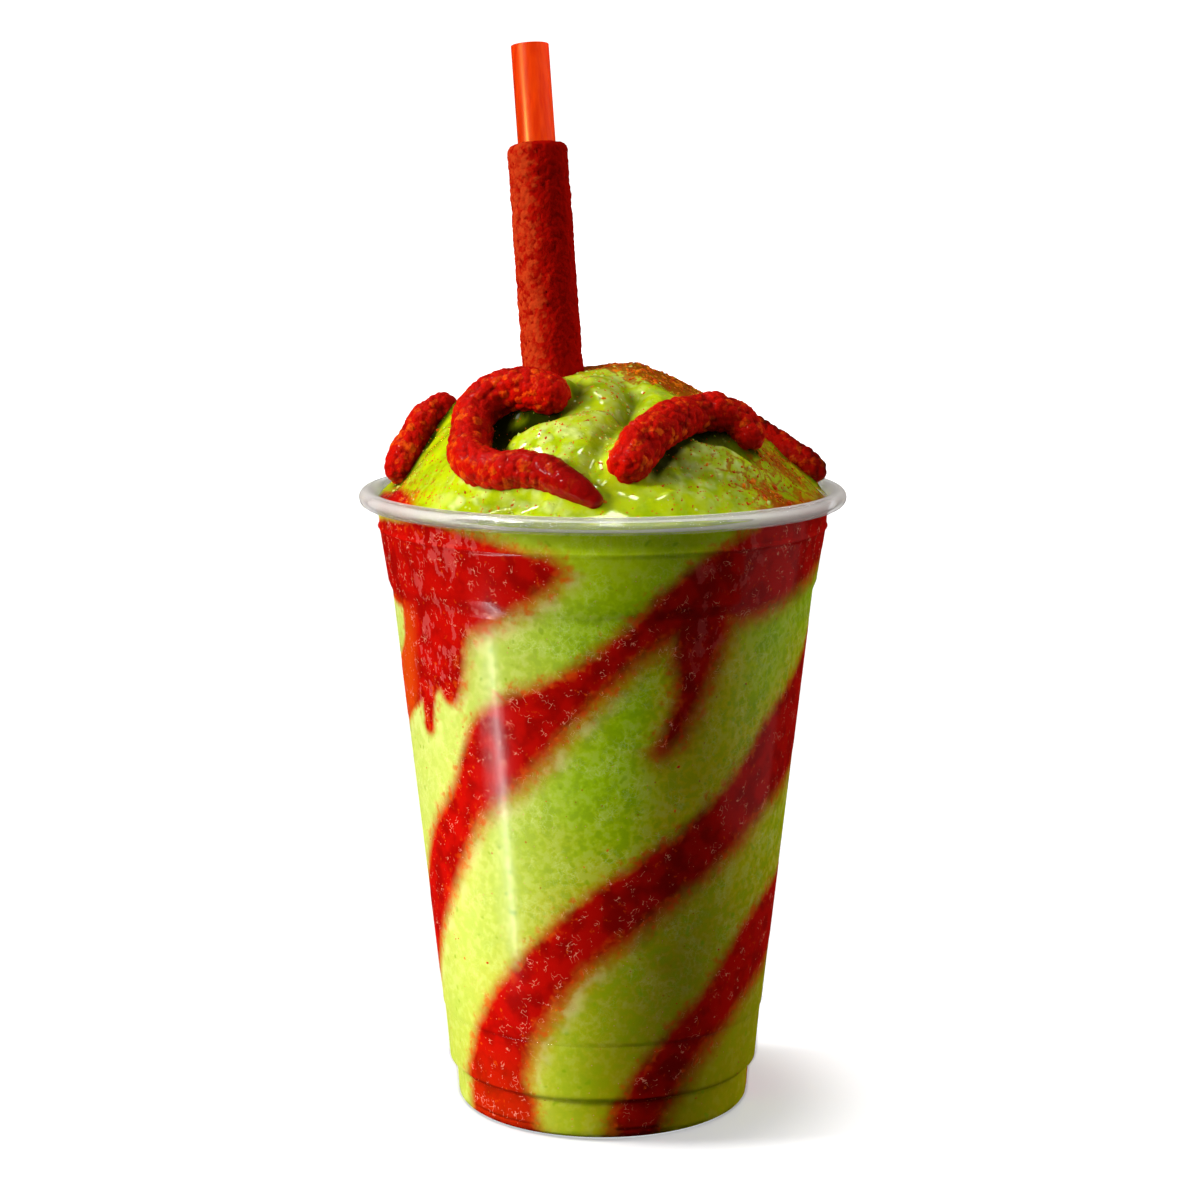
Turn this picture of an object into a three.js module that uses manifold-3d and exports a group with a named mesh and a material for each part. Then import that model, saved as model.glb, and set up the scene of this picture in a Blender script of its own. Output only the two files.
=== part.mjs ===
// A green apple smoothie in a clear takeaway cup: slush piled above the rim, red sauce swirled
// down the inside of the wall, four chilli-coated gummy worms on top, and an orange straw in a
// sleeve of tamarind candy. Lengths are millimetres, angles degrees. +Z is up, the foot of the
// cup stands on z = 0, its axis is the z axis and the front of the drink faces -Y.

import * as THREE from 'three';
import { mergeVertices } from 'three/addons/utils/BufferGeometryUtils.js';
import Module from 'manifold-3d';

const wasm = await Module();
wasm.setup();

// Driving dimensions of the cup, as [radius, height] where both are needed.
const RIM_RADIUS = 49;
const CUP_HEIGHT = 127.3;
const WALL = 0.6;
const FOOT_CORNER = 2;
const FOOT_LOW = [30.3, FOOT_CORNER];
const FOOT_HIGH = [30.7, 8];
const STEP = [32.1, 9.3];
const RING_LOW = [33.1, 20.4];
const RING_HIGH = [33.4, 21];
const SHOULDER_LOW = [42.9, 107];
const SHOULDER_HIGH = [43.65, 109];
const RIDGE_LOW = [45.25, 119.2];
const RIDGE = [45.65, 119.8];
const RIDGE_HIGH = [45.4, 120.5];
const LIP_ROOT = [45.7, 123.9];
const FOOT_RING_WIDTH = 2.2;
const FLOOR_LIFT = 1.2;
const LIP_ROLL = 1.7;
const LIP_END_ANGLE = -100;

// Driving dimensions of the drink. The mound is a dome with lobes and creases on it.
const TOUCH_GAP = 0.3;
const WALL_SLACK = 0.03;
const WALL_RAISE = 0.25;
const MOUND_EDGE_RADIUS = 44.7;
const MOUND_EDGE_HEIGHT = 126;
const DOME_HEIGHT = 23.6;
const EDGE_BLEND = 7;
const MOUND_RINGS = 10;
const RING_CROWDING = 1.15;

// Lobes of slush: middle x and y, long and short half length, turn, height.
const LOBES = [
  [7, 3, 13, 9, 15, 2.6],
  [-9, -14, 12, 6, -12, 2.8],
  [24, -16, 11, 8, -28, 1.8],
  [-29, 5, 9, 9, 0, 3.8],
  [-31, -15, 8, 7, 50, 1.6],
  [6, -30, 20, 5, 3, 1.5],
  [20, 16, 12, 9, 30, 1.2],
  [-10, 22, 14, 8, -20, 1.8],
  [-43, -2, 5, 13, 0, -3.4],
  [30, 2, 8, 8, 0, -1.4],
];

// Creases between the lobes: x and y of both ends, half width, depth.
const CREASES = [
  [-20, -18, 4, -20, 2.4, 1.8],
  [7, -30, 5, -8, 2.6, 1.6],
  [12, -22, 36, -22, 2.2, 1.3],
  [14, -6, 32, -4, 2.2, 1.6],
  [-6, 12, 12, 22, 2.6, 1.6],
];

// Sauce on the inside of the wall. A stop is the angle round the cup from the front, positive
// to the right, then the height, then the half width of the band there.
const SAUCE_DEPTH = 2.6;
const DRIP_DEPTH = 1.9;
const SAUCE_STEP = 12;
const SAUCE = {
  sauce_swirl_upper: [
    [[98, 122, 4], [85, 120.4, 5.4], [72, 119, 6.6], [61, 118, 8], [50, 116.8, 8.8],
      [38, 114.3, 8.3], [29, 112.2, 6.8], [21.7, 109.8, 5.3], [15.3, 106.6, 4.3],
      [8.7, 102.9, 3.5], [1.9, 98.6, 3.5], [-4, 94.8, 3.9], [-11, 91.2, 4.7], [-18, 87.8, 5.9],
      [-24.5, 84.3, 7.2], [-31, 80.2, 7.3], [-36.5, 75.5, 6], [-42.4, 70.2, 4.5],
      [-48, 65.2, 4.5], [-56, 58.6, 5.5], [-65, 50.8, 5.8], [-76, 42, 5.8], [-88, 33, 6],
      [-101, 24.5, 5.9], [-114, 16, 5.7], [-128, 7, 5.5]],
    [[27, 107, 6.4], [25.5, 100.3, 4.5], [24.6, 95, 3.4], [22.8, 90, 2.7], [21, 86.4, 2.2],
      [17, 82.3, 1.6]],
  ],
  sauce_swirl_middle: [
    [[128, 119, 6], [118, 111.5, 7], [109, 104.5, 8], [100, 98, 9], [90, 90.5, 10],
      [80, 84.6, 10.6], [71, 80.6, 10.4], [63, 77.6, 9.4], [54, 73.4, 7.3], [45.7, 68.8, 6.3],
      [36, 63.7, 6], [27, 59.3, 5.6], [18, 55.5, 5.6], [8.5, 51, 5.9], [0, 46.8, 5.9],
      [-7, 43.3, 5.6], [-13, 39.8, 5.2], [-19, 35.6, 5.6], [-26, 30.2, 5.8], [-33, 24.6, 5.9],
      [-38.5, 18.6, 6.8], [-42, 12, 7.8], [-44, 6, 9.2], [-43.5, 0.5, 9.6]],
  ],
  sauce_swirl_lower: [
    [[197, 114, 6], [188, 107, 6.1], [179, 100.2, 6.3], [169.5, 93, 6.4], [160, 86, 6.5],
      [150, 78.4, 6.5], [140, 71.2, 6.5], [130, 64.4, 6.5], [120, 58, 6.6], [109, 52, 6.8],
      [98, 47, 7.2], [88, 43.4, 7.6], [78, 40.8, 8], [69, 38.8, 8.1], [60.6, 36.3, 7.6],
      [53, 33, 6.5], [46, 28.8, 5.4], [37.5, 24, 5], [29.5, 19.6, 4.9], [22.8, 14.8, 4.8],
      [17, 9.6, 5.1], [13, 4, 5.4]],
  ],
  sauce_swirl_left: [
    [[95, 4, 6], [109, 12.4, 6], [122, 20.4, 6], [135, 28, 6], [150, 37.2, 6.2], [165, 46, 6.4],
      [180, 54, 6.5], [195, 61.2, 6.5], [210, 67.6, 6.5], [225, 73, 6.5], [240, 77.4, 6.4],
      [255, 81.2, 6.2], [270, 85, 6], [281, 88.2, 5.8], [291, 91.8, 5.9], [299, 96, 7.6],
      [304.5, 101.5, 10.4], [307.5, 108, 12]],
    [[252, 114, 6], [266, 114, 6.8], [280, 114, 7.7], [294, 114, 8.7], [308, 114, 9.6],
      [320, 113.4, 10], [328, 114.3, 8], [334.5, 114.7, 6.4], [340.5, 115.6, 4.5],
      [345, 116.5, 2.9], [347.8, 117.1, 1.7]],
    [[301.5, 98, 4.2], [302, 91.5, 3], [301.4, 87, 2.1], [300.8, 83, 1.6]],
    [[311.5, 99, 6], [313, 93.2, 3.3], [313, 90.6, 2]],
  ],
};

// Gummy worms, each a lumpy body along stops of x, y, height of its middle above the slush and
// girth, measured out from that middle.
const WORM_LUMP = 0.28;
const WORMS = {
  worm_left: {
    seed: 11,
    stops: [[-40.4, -3.2, 2.7, 3.4], [-39, -1, 4, 3.5], [-37.1, 1, 3.9, 3.6], [-34.8, 3, 3.4, 3.6],
      [-32.5, 5, 2.1, 3.5]],
  },
  worm_curl: {
    seed: 23,
    stops: [[-10.4, -17.4, 2, 4.1], [-14.2, -15.6, 2.3, 4.5], [-18.1, -14.3, 3.2, 4.5],
      [-21.8, -14.4, 3.8, 4.4], [-24.5, -16.8, 3.6, 4.3], [-25.6, -20.8, 2.9, 4.3],
      [-25.7, -25.6, 2.6, 4.2], [-23.2, -30, 1.8, 4.1], [-19.1, -33.2, 1.7, 3.9],
      [-14.9, -34.9, 1.8, 3.9], [-10.9, -36.5, 1.6, 3.7], [-7.3, -38.8, 1.4, 3.4],
      [-3.9, -40.7, 1.2, 2.8], [-1.7, -41.7, 0.8, 1.9]],
  },
  worm_arch: {
    seed: 37,
    stops: [[5.1, -36.5, 2.3, 4.2], [7, -33.4, 2.4, 4.5], [9.7, -30.4, 2.8, 4.3],
      [13.2, -27, 3, 4.1], [17.6, -20.9, 3.2, 3.9], [21.5, -19.2, 3.2, 3.8],
      [25.1, -18, 3, 3.6], [27, -18.2, 2.9, 3.4], [28.4, -19, 2.7, 3.2]],
  },
  worm_right: {
    seed: 51,
    stops: [[31.5, 9.3, 1.4, 2.9], [34.6, 7.4, 1.3, 3], [37.7, 3.7, 1.5, 3], [40.4, 2.3, 1.8, 2.9],
      [42.4, 1.8, 2.1, 2.8]],
  },
};

// Straw and its candy sleeve, along the straw's own axis from its lower end.
const STRAW_RADIUS = 3.8;
const STRAW_WALL = 0.4;
const STRAW_LENGTH = 211;
const STRAW_FOOT = new THREE.Vector3(0.45, -20.3, 6.5);
const STRAW_TOP = new THREE.Vector3(-14.6, 9.9, 215);
const SLEEVE_RADIUS = 6.1;
const SLEEVE_LOW = 112;
const SLEEVE_HIGH = 191.2;
const SLEEVE_ROUND = 1.6;
const SLEEVE_LUMP = 0.16;
const SLEEVE_SEED = 71;
const DRINK_IN_STRAW = 141;

// How finely round pieces are cut into faces.
const CUP_SIDES = 40;
const LIP_STEPS = 6;
const CORNER_STEPS = 2;
const SAUCE_SIDES = 8;
const WORM_SIDES = 10;
const WORM_STEP = 3;
const STRAW_SIDES = 16;
const SLEEVE_SIDES = 12;
const SLEEVE_RINGS = 13;

// Closer than this counts as the same place. A cut runs past what it cuts by CUT_PAST, and two
// cuts that meet share CUT_OVERLAP.
const SAME_PLACE = 1e-3;
const CUT_PAST = 10;
const CUT_OVERLAP = 0.1;

const paint = (color, roughness, opacity = 1) => new THREE.MeshStandardMaterial({
  color,
  roughness,
  metalness: 0,
  opacity,
  transparent: opacity < 1,
});
const clearPlastic = paint(0xe4e8e4, 0.12, 0.35);
const slush = paint(0xa4c81e, 0.35);
const redSauce = paint(0xb80c04, 0.15);
const gummy = paint(0xb8200c, 0.45);
const orangePlastic = paint(0xfa5504, 0.35);
const tamarind = paint(0x96260c, 0.75);

// A seeded draw from 0 to 1, the same on every run.
function seededDraw(seed) {
  let state = seed;
  return () => {
    state = (state * 16807) % 2147483647;
    return state / 2147483647;
  };
}

function weldedPositions(geometry) {
  const bare = geometry.clone();
  bare.deleteAttribute('normal');
  bare.deleteAttribute('uv');
  return mergeVertices(bare, SAME_PLACE);
}

function toSolid(geometry) {
  const welded = weldedPositions(geometry);
  const vertProperties = new Float32Array(welded.attributes.position.array);
  const triVerts = new Uint32Array(welded.index.array);
  return new wasm.Manifold(new wasm.Mesh({ numProp: 3, vertProperties, triVerts }));
}

function toGeometry(solid) {
  const mesh = solid.getMesh();
  const geometry = new THREE.BufferGeometry();
  geometry.setAttribute('position', new THREE.BufferAttribute(mesh.vertProperties, 3));
  geometry.setIndex(new THREE.BufferAttribute(mesh.triVerts, 1));
  geometry.computeVertexNormals();
  return geometry;
}

// Turns an outline of [radius, height] stops round the z axis.
function turned(outline, sides) {
  const points = outline.map(([radius, height]) => new THREE.Vector2(Math.max(radius, 0), height));
  return new THREE.LatheGeometry(points, sides).rotateX(Math.PI / 2);
}

function arcStops(middle, radius, fromAngle, toAngle, steps) {
  const stops = [];
  for (let i = 0; i <= steps; i += 1) {
    const angle = THREE.MathUtils.degToRad(THREE.MathUtils.lerp(fromAngle, toAngle, i / steps));
    stops.push([middle[0] + radius * Math.cos(angle), middle[1] + radius * Math.sin(angle)]);
  }
  return stops;
}

// The wall above the foot's corner, on its outside. The fine ridge under the lip is left off
// its inside, and the drink leaves out the ring above the foot too.
const OUTER_WALL = [
  FOOT_HIGH, STEP, RING_LOW, RING_HIGH, SHOULDER_LOW, SHOULDER_HIGH,
  RIDGE_LOW, RIDGE, RIDGE_HIGH, LIP_ROOT,
];
const PLAIN_WALL = OUTER_WALL.filter((stop) => stop !== RIDGE && stop !== RIDGE_LOW);
const DRINK_STOPS = PLAIN_WALL.filter((stop) => stop !== RING_HIGH && stop !== RIDGE_HIGH);
const shifted = (stops, inward, upward) => stops.map(([r, z]) => [r - inward, z + upward]);

function cupOutline() {
  const cornerMiddle = [FOOT_LOW[0] - FOOT_CORNER, FOOT_CORNER];
  const ringInner = cornerMiddle[0] - FOOT_RING_WIDTH;
  const floorEdge = ringInner - FLOOR_LIFT;
  const lipMiddle = [RIM_RADIUS - LIP_ROLL, CUP_HEIGHT - LIP_ROLL];
  const corner = arcStops(cornerMiddle, FOOT_CORNER, -90, 0, CORNER_STEPS);
  const innerCorner = arcStops(cornerMiddle, FOOT_CORNER - WALL, 0, -90, CORNER_STEPS - 1);
  const lipInside = arcStops(lipMiddle, LIP_ROLL - WALL, 180, LIP_END_ANGLE, LIP_STEPS);
  const lipOutside = arcStops(lipMiddle, LIP_ROLL, LIP_END_ANGLE, 180, LIP_STEPS);
  return [
    [0, FLOOR_LIFT],
    [floorEdge, FLOOR_LIFT],
    [ringInner, 0],
    ...corner,
    ...OUTER_WALL,
    ...lipInside,
    ...lipOutside,
    ...shifted(PLAIN_WALL, WALL, 0).reverse(),
    ...innerCorner,
    [ringInner + WALL / 2, WALL],
    [floorEdge + WALL / 2, FLOOR_LIFT + WALL],
    [0, FLOOR_LIFT + WALL],
  ];
}

// Radius of the drink against the wall at a height, a touch clear of the wall all the way up.
const DRINK_WALL = shifted(
  [FOOT_LOW, ...DRINK_STOPS],
  WALL + TOUCH_GAP + WALL_SLACK,
  WALL_RAISE,
);
function drinkRadius(height) {
  const stops = DRINK_WALL;
  let i = 1;
  while (i < stops.length - 1 && stops[i][1] < height) {
    i += 1;
  }
  const [lowRadius, low] = stops[i - 1];
  const [highRadius, high] = stops[i];
  const share = THREE.MathUtils.clamp((height - low) / (high - low), 0, 1);
  return THREE.MathUtils.lerp(lowRadius, highRadius, share);
}

// Height that lobes and creases add to the dome, fading out at the rim.
function moundRelief(x, y) {
  let relief = 0;
  for (const [middleX, middleY, long, short, turn, height] of LOBES) {
    const angle = THREE.MathUtils.degToRad(turn);
    const along = (x - middleX) * Math.cos(angle) + (y - middleY) * Math.sin(angle);
    const across = (y - middleY) * Math.cos(angle) - (x - middleX) * Math.sin(angle);
    relief += height * Math.exp(-((along / long) ** 2) - (across / short) ** 2);
  }
  for (const [fromX, fromY, toX, toY, width, depth] of CREASES) {
    const runX = toX - fromX;
    const runY = toY - fromY;
    const share = ((x - fromX) * runX + (y - fromY) * runY) / (runX ** 2 + runY ** 2);
    const held = THREE.MathUtils.clamp(share, 0, 1);
    const away = Math.hypot(x - fromX - held * runX, y - fromY - held * runY);
    relief -= depth * Math.exp(-((away / width) ** 2));
  }
  const inside = MOUND_EDGE_RADIUS - Math.hypot(x, y);
  return relief * THREE.MathUtils.smoothstep(inside, 0, EDGE_BLEND);
}

function moundHeight(x, y) {
  const share = Math.hypot(x, y) / MOUND_EDGE_RADIUS;
  return MOUND_EDGE_HEIGHT + DOME_HEIGHT * (1 - share ** 2) + moundRelief(x, y);
}

// The whole drink before anything is cut out of it.
function drinkGeometry() {
  const floorTop = FLOOR_LIFT + WALL + TOUCH_GAP;
  const outline = [[0, floorTop], [DRINK_WALL[0][0] - FOOT_CORNER, floorTop], ...DRINK_WALL];
  for (let i = 0; i <= MOUND_RINGS; i += 1) {
    const share = 1 - (i / MOUND_RINGS) ** RING_CROWDING;
    outline.push([MOUND_EDGE_RADIUS * share, MOUND_EDGE_HEIGHT + DOME_HEIGHT * (1 - share ** 2)]);
  }
  const geometry = turned(outline, CUP_SIDES);
  const position = geometry.attributes.position;
  for (let i = 0; i < position.count; i += 1) {
    if (position.getZ(i) >= MOUND_EDGE_HEIGHT) {
      const relief = moundRelief(position.getX(i), position.getY(i));
      position.setZ(i, position.getZ(i) + relief);
    }
  }
  return geometry;
}

// One run of sauce: a capsule flattened against the wall and bent along its stops. It stands
// out past the drink on the wall's side, to be trimmed there.
function sauceRun(stops, depth, extra) {
  const route = new THREE.CatmullRomCurve3(stops.map((stop) => new THREE.Vector3(...stop)));
  const mmPerDegree = (height) => THREE.MathUtils.degToRad(drinkRadius(height));
  let length = 0;
  for (let i = 1; i < stops.length; i += 1) {
    const across = (stops[i][0] - stops[i - 1][0]) * mmPerDegree(stops[i][1]);
    length += Math.hypot(across, stops[i][1] - stops[i - 1][1]);
  }
  const steps = Math.max(2, Math.round(length / SAUCE_STEP));
  const geometry = new THREE.CapsuleGeometry(1, steps, 2, SAUCE_SIDES, steps);
  const position = geometry.attributes.position;
  for (let i = 0; i < position.count; i += 1) {
    const run = position.getY(i) + steps / 2;
    const held = THREE.MathUtils.clamp(run, 0, steps);
    const middle = route.getPoint(held / steps);
    const slope = route.getTangent(held / steps);
    const scale = mmPerDegree(middle.y);
    const heading = new THREE.Vector2(slope.x * scale, slope.y).normalize();
    const halfWidth = middle.z + extra;
    const ahead = (run - held) * halfWidth;
    const aside = position.getX(i) * halfWidth;
    const degrees = middle.x + (heading.x * ahead + heading.y * aside) / scale;
    const height = middle.y + heading.y * ahead - heading.x * aside;
    const radius = drinkRadius(height) + position.getZ(i) * (depth + extra);
    const angle = THREE.MathUtils.degToRad(degrees);
    position.setXYZ(i, radius * Math.sin(angle), -radius * Math.cos(angle), height);
  }
  return geometry;
}

function sauceSolid(runs, extra) {
  const solids = runs.map((stops, i) => {
    const depth = i === 0 ? SAUCE_DEPTH : DRIP_DEPTH;
    return toSolid(sauceRun(stops, depth, extra));
  });
  return solids.reduce((joined, solid) => joined.add(solid));
}

// A worm: a capsule with lumps on it, bent along its route over the slush.
function wormGeometry({ seed, stops }, extra) {
  const places = stops.map(([x, y, lift]) => new THREE.Vector3(x, y, moundHeight(x, y) + lift));
  const route = new THREE.CatmullRomCurve3(places);
  const steps = Math.round(route.getLength() / WORM_STEP);
  const frames = route.computeFrenetFrames(steps, false);
  const draw = seededDraw(seed);
  const lumps = [];
  for (let i = 0; i < (steps + 1) * WORM_SIDES; i += 1) {
    lumps.push((draw() - 0.5) * 2 * WORM_LUMP);
  }
  const geometry = new THREE.CapsuleGeometry(1, steps, 2, WORM_SIDES, steps);
  const position = geometry.attributes.position;
  for (let i = 0; i < position.count; i += 1) {
    const run = position.getY(i) + steps / 2;
    const held = THREE.MathUtils.clamp(Math.round(run), 0, steps);
    const middle = route.getPointAt(held / steps);
    const stop = route.getUtoTmapping(held / steps) * (stops.length - 1);
    const before = Math.min(Math.floor(stop), stops.length - 2);
    const girth = THREE.MathUtils.lerp(stops[before][3], stops[before + 1][3], stop - before);
    const side = Math.round((Math.atan2(position.getZ(i), position.getX(i)) / Math.PI + 1)
      * WORM_SIDES / 2) % WORM_SIDES;
    const onCap = Math.abs(run - held) > SAME_PLACE;
    const lump = onCap ? 0 : lumps[held * WORM_SIDES + side];
    const reach = girth + lump + extra;
    middle.addScaledVector(frames.tangents[held], (run - held) * reach);
    middle.addScaledVector(frames.binormals[held], position.getX(i) * reach);
    middle.addScaledVector(frames.normals[held], position.getZ(i) * reach);
    position.setXYZ(i, middle.x, middle.y, middle.z);
  }
  return geometry;
}

// The straw's own frame: its origin at the lower end and +Z up the straw.
const strawDirection = STRAW_TOP.clone().sub(STRAW_FOOT).normalize();
const strawTurn = new THREE.Quaternion()
  .setFromUnitVectors(new THREE.Vector3(0, 0, 1), strawDirection);
const strawFrame = new THREE.Matrix4()
  .compose(STRAW_FOOT, strawTurn, new THREE.Vector3(1, 1, 1));

const ring = (inner, outer, low, high, sides) => turned(
  [[inner, low], [outer, low], [outer, high], [inner, high], [inner, low]],
  sides,
);
const rod = (radius, low, high, sides) => turned(
  [[0, low], [radius, low], [radius, high], [0, high]],
  sides,
);

// The sleeve: a rounded tube whose outside is uneven all over, with its bore left round.
function sleeveGeometry() {
  const bore = STRAW_RADIUS + TOUCH_GAP;
  const round = SLEEVE_ROUND;
  const outline = [[bore, SLEEVE_LOW]];
  outline.push([SLEEVE_RADIUS - round, SLEEVE_LOW]);
  for (let i = 0; i <= SLEEVE_RINGS; i += 1) {
    const share = i / SLEEVE_RINGS;
    outline.push([SLEEVE_RADIUS, THREE.MathUtils.lerp(SLEEVE_LOW + round, SLEEVE_HIGH - round, share)]);
  }
  const inset = round * (1 - Math.SQRT1_2);
  outline.push([SLEEVE_RADIUS - inset, SLEEVE_HIGH - inset]);
  outline.push([SLEEVE_RADIUS - round, SLEEVE_HIGH]);
  outline.push([bore, SLEEVE_HIGH]);
  outline.push([bore, SLEEVE_LOW]);
  const geometry = turned(outline, SLEEVE_SIDES);
  const position = geometry.attributes.position;
  const draw = seededDraw(SLEEVE_SEED);
  const lumps = Array.from({ length: outline.length * SLEEVE_SIDES }, () => (draw() - 0.5) * 2);
  for (let i = 0; i < position.count; i += 1) {
    const radius = Math.hypot(position.getX(i), position.getY(i));
    if (radius > SLEEVE_RADIUS - SAME_PLACE) {
      const side = Math.floor(i / outline.length) % SLEEVE_SIDES;
      const lump = lumps[(i % outline.length) * SLEEVE_SIDES + side] * SLEEVE_LUMP;
      position.setX(i, position.getX(i) * (1 + lump / radius));
      position.setY(i, position.getY(i) * (1 + lump / radius));
    }
  }
  return geometry;
}

// What is cut out of the drink for the straw: the straw's wall, the air above the level
// inside it, and the room that the sleeve takes.
function strawRoom() {
  const above = STRAW_LENGTH + CUT_PAST;
  const outer = STRAW_RADIUS + TOUCH_GAP;
  const inner = STRAW_RADIUS - STRAW_WALL - TOUCH_GAP;
  const sleeveRoom = SLEEVE_RADIUS + SLEEVE_LUMP + TOUCH_GAP;
  const cuts = [
    ring(inner, outer, -TOUCH_GAP, above, STRAW_SIDES),
    rod(outer - CUT_OVERLAP, DRINK_IN_STRAW, above, STRAW_SIDES),
    ring(outer - 2 * CUT_OVERLAP, sleeveRoom, SLEEVE_LOW - TOUCH_GAP, above, STRAW_SIDES),
  ];
  return cuts
    .map((geometry) => toSolid(geometry.applyMatrix4(strawFrame)))
    .reduce((joined, solid) => joined.add(solid));
}

const smoothie = new THREE.Group();
function addPiece(name, geometry, material, frame = null) {
  const mesh = new THREE.Mesh(geometry, material);
  mesh.name = name;
  if (frame) {
    frame.decompose(mesh.position, mesh.quaternion, mesh.scale);
  }
  smoothie.add(mesh);
}

addPiece('cup', turned(cupOutline(), CUP_SIDES), clearPlastic);
addPiece('straw', ring(STRAW_RADIUS - STRAW_WALL, STRAW_RADIUS, 0, STRAW_LENGTH, STRAW_SIDES),
  orangePlastic, strawFrame);
addPiece('tamarind_sleeve', sleeveGeometry(), tamarind, strawFrame);

const wholeDrink = toSolid(drinkGeometry());
let toppingRoom = strawRoom();
for (const [name, worm] of Object.entries(WORMS)) {
  addPiece(name, wormGeometry(worm, 0), gummy);
  toppingRoom = toppingRoom.add(toSolid(wormGeometry(worm, TOUCH_GAP)));
}

let drink = wholeDrink.subtract(toppingRoom);
for (const [name, runs] of Object.entries(SAUCE)) {
  const sauce = sauceSolid(runs, 0).intersect(wholeDrink).subtract(toppingRoom);
  addPiece(name, toGeometry(sauce), redSauce);
  drink = drink.subtract(sauceSolid(runs, TOUCH_GAP));
}
addPiece('smoothie', toGeometry(drink), slush);

export default smoothie;
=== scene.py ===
import math

import bpy
import numpy as np
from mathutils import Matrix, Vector, noise


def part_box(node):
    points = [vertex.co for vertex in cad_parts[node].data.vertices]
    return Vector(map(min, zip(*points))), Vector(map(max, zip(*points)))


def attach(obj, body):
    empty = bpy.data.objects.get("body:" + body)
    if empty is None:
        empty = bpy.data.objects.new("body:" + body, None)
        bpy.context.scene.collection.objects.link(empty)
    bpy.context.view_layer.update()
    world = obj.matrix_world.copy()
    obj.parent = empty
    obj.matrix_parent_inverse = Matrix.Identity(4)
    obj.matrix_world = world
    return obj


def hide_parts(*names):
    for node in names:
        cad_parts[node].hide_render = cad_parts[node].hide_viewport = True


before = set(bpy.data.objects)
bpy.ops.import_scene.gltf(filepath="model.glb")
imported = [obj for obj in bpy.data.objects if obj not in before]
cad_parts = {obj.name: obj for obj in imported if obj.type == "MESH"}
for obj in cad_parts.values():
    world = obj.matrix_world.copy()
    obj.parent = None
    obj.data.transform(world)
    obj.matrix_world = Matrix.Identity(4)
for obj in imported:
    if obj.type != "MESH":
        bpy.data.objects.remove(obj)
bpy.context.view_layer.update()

bl_info = {
    "name": "Green apple smoothie",
    "version": (1, 0, 0),
    "blender": (4, 5, 0),
    "location": "View3D > Sidebar > Smoothie",
    "description": "Makes a clear cup of green slush with red sauce, gummy worms and a candied straw",
    "category": "Object",
}

MM = 0.001
BODY = "root"

# Wall of the cup from the foot to the root of the lip, as radius and height in millimetres.
FOOT_CORNER = 2.0
FOOT_RING_WIDTH = 2.2
FLOOR_LIFT = 1.2
CUP_WALL = 0.6
LIP_ROLL = 1.7
LIP_END = -100
OUTER_WALL = [
    (30.3, 2.0), (30.7, 8.0), (32.1, 9.3), (33.1, 20.4), (33.4, 21.0), (42.9, 107.0),
    (43.65, 109.0), (45.25, 119.2), (45.65, 119.8), (45.4, 120.5), (45.7, 123.9),
]
WALL_ROUNDING = [0.3, 0.8, 0.6, 0.3, 0.5, 0.8, 1.2, 0.4, 0.25, 0.4, 0.3]

# The heap of slush: a dome with lobes and creases on it, in millimetres and degrees.
MOUND_RADIUS = 44.7
MOUND_EDGE = 126.0
DOME_HEIGHT = 23.6
EDGE_BLEND = 7.0
LOBES = [
    (7, 3, 13, 9, 15, 2.6), (-9, -14, 12, 6, -12, 2.8), (24, -16, 11, 8, -28, 1.8),
    (-29, 5, 9, 9, 0, 3.8), (-31, -15, 8, 7, 50, 1.6), (6, -30, 20, 5, 3, 1.5),
    (20, 16, 12, 9, 30, 1.2), (-10, 22, 14, 8, -20, 1.8), (-43, -2, 5, 13, 0, -3.4),
    (30, 2, 8, 8, 0, -1.4),
]
CREASES = [
    (-20, -18, 4, -20, 2.4, 1.8), (7, -30, 5, -8, 2.6, 1.6), (12, -22, 36, -22, 2.2, 1.3),
    (14, -6, 32, -4, 2.2, 1.6), (-6, 12, 12, 22, 2.6, 1.6),
]

# Finer forms of the heap: soft bumps, as above, and folds, each with its half width, its depth
# and the stops of its line.
BUMPS = [
    (-9, -25.5, 9, 4.5, -5, 1.5), (22, -26, 9, 4, 15, 1.3), (-28, -27, 7, 4, 40, 1.0),
    (5, -39, 15, 3, 0, 0.8), (12, -14, 6, 5, 0, 0.9), (-16, -2, 6, 5, 20, 0.8),
]
FOLDS = [
    (2.4, 3.4, [(-9.5, -20.4), (-14, -19.6), (-18.6, -20), (-20.4, -23), (-20.4, -26)]),
    (1.8, 1.5, [(-6, -9), (-4, -12.5), (-4.5, -15.5)]),
    (1.5, 2.4, [(18, -24.6), (23, -22.6), (28, -22)]),
    (2.0, 1.4, [(6.7, -12), (5, -18), (2, -26), (-0.5, -31.5), (-2, -35)]),
    (1.7, 1.3, [(11, -31), (17, -32.5), (23, -31.2), (30, -27), (37.5, -19)]),
    (1.5, 1.0, [(14, -16), (21, -13), (29, -12), (36, -8)]),
    (1.8, 1.1, [(-38, -24), (-31, -33), (-22, -37), (-12, -39)]),
]

# Where icy granules show on the heap, as lobes with a strength.
ICY = [
    (-9, -29, 7, 6, 0, 1.0), (-27, -33, 7, 5, 40, 0.9), (16, -33, 9, 6, 10, 0.7),
    (2, -20, 6, 8, 0, 0.6), (-14, -41, 12, 4, -20, 0.7), (20, -26, 9, 5, 0, 0.7), (2, -6, 8, 8, 0, 0.5),
]

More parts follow.
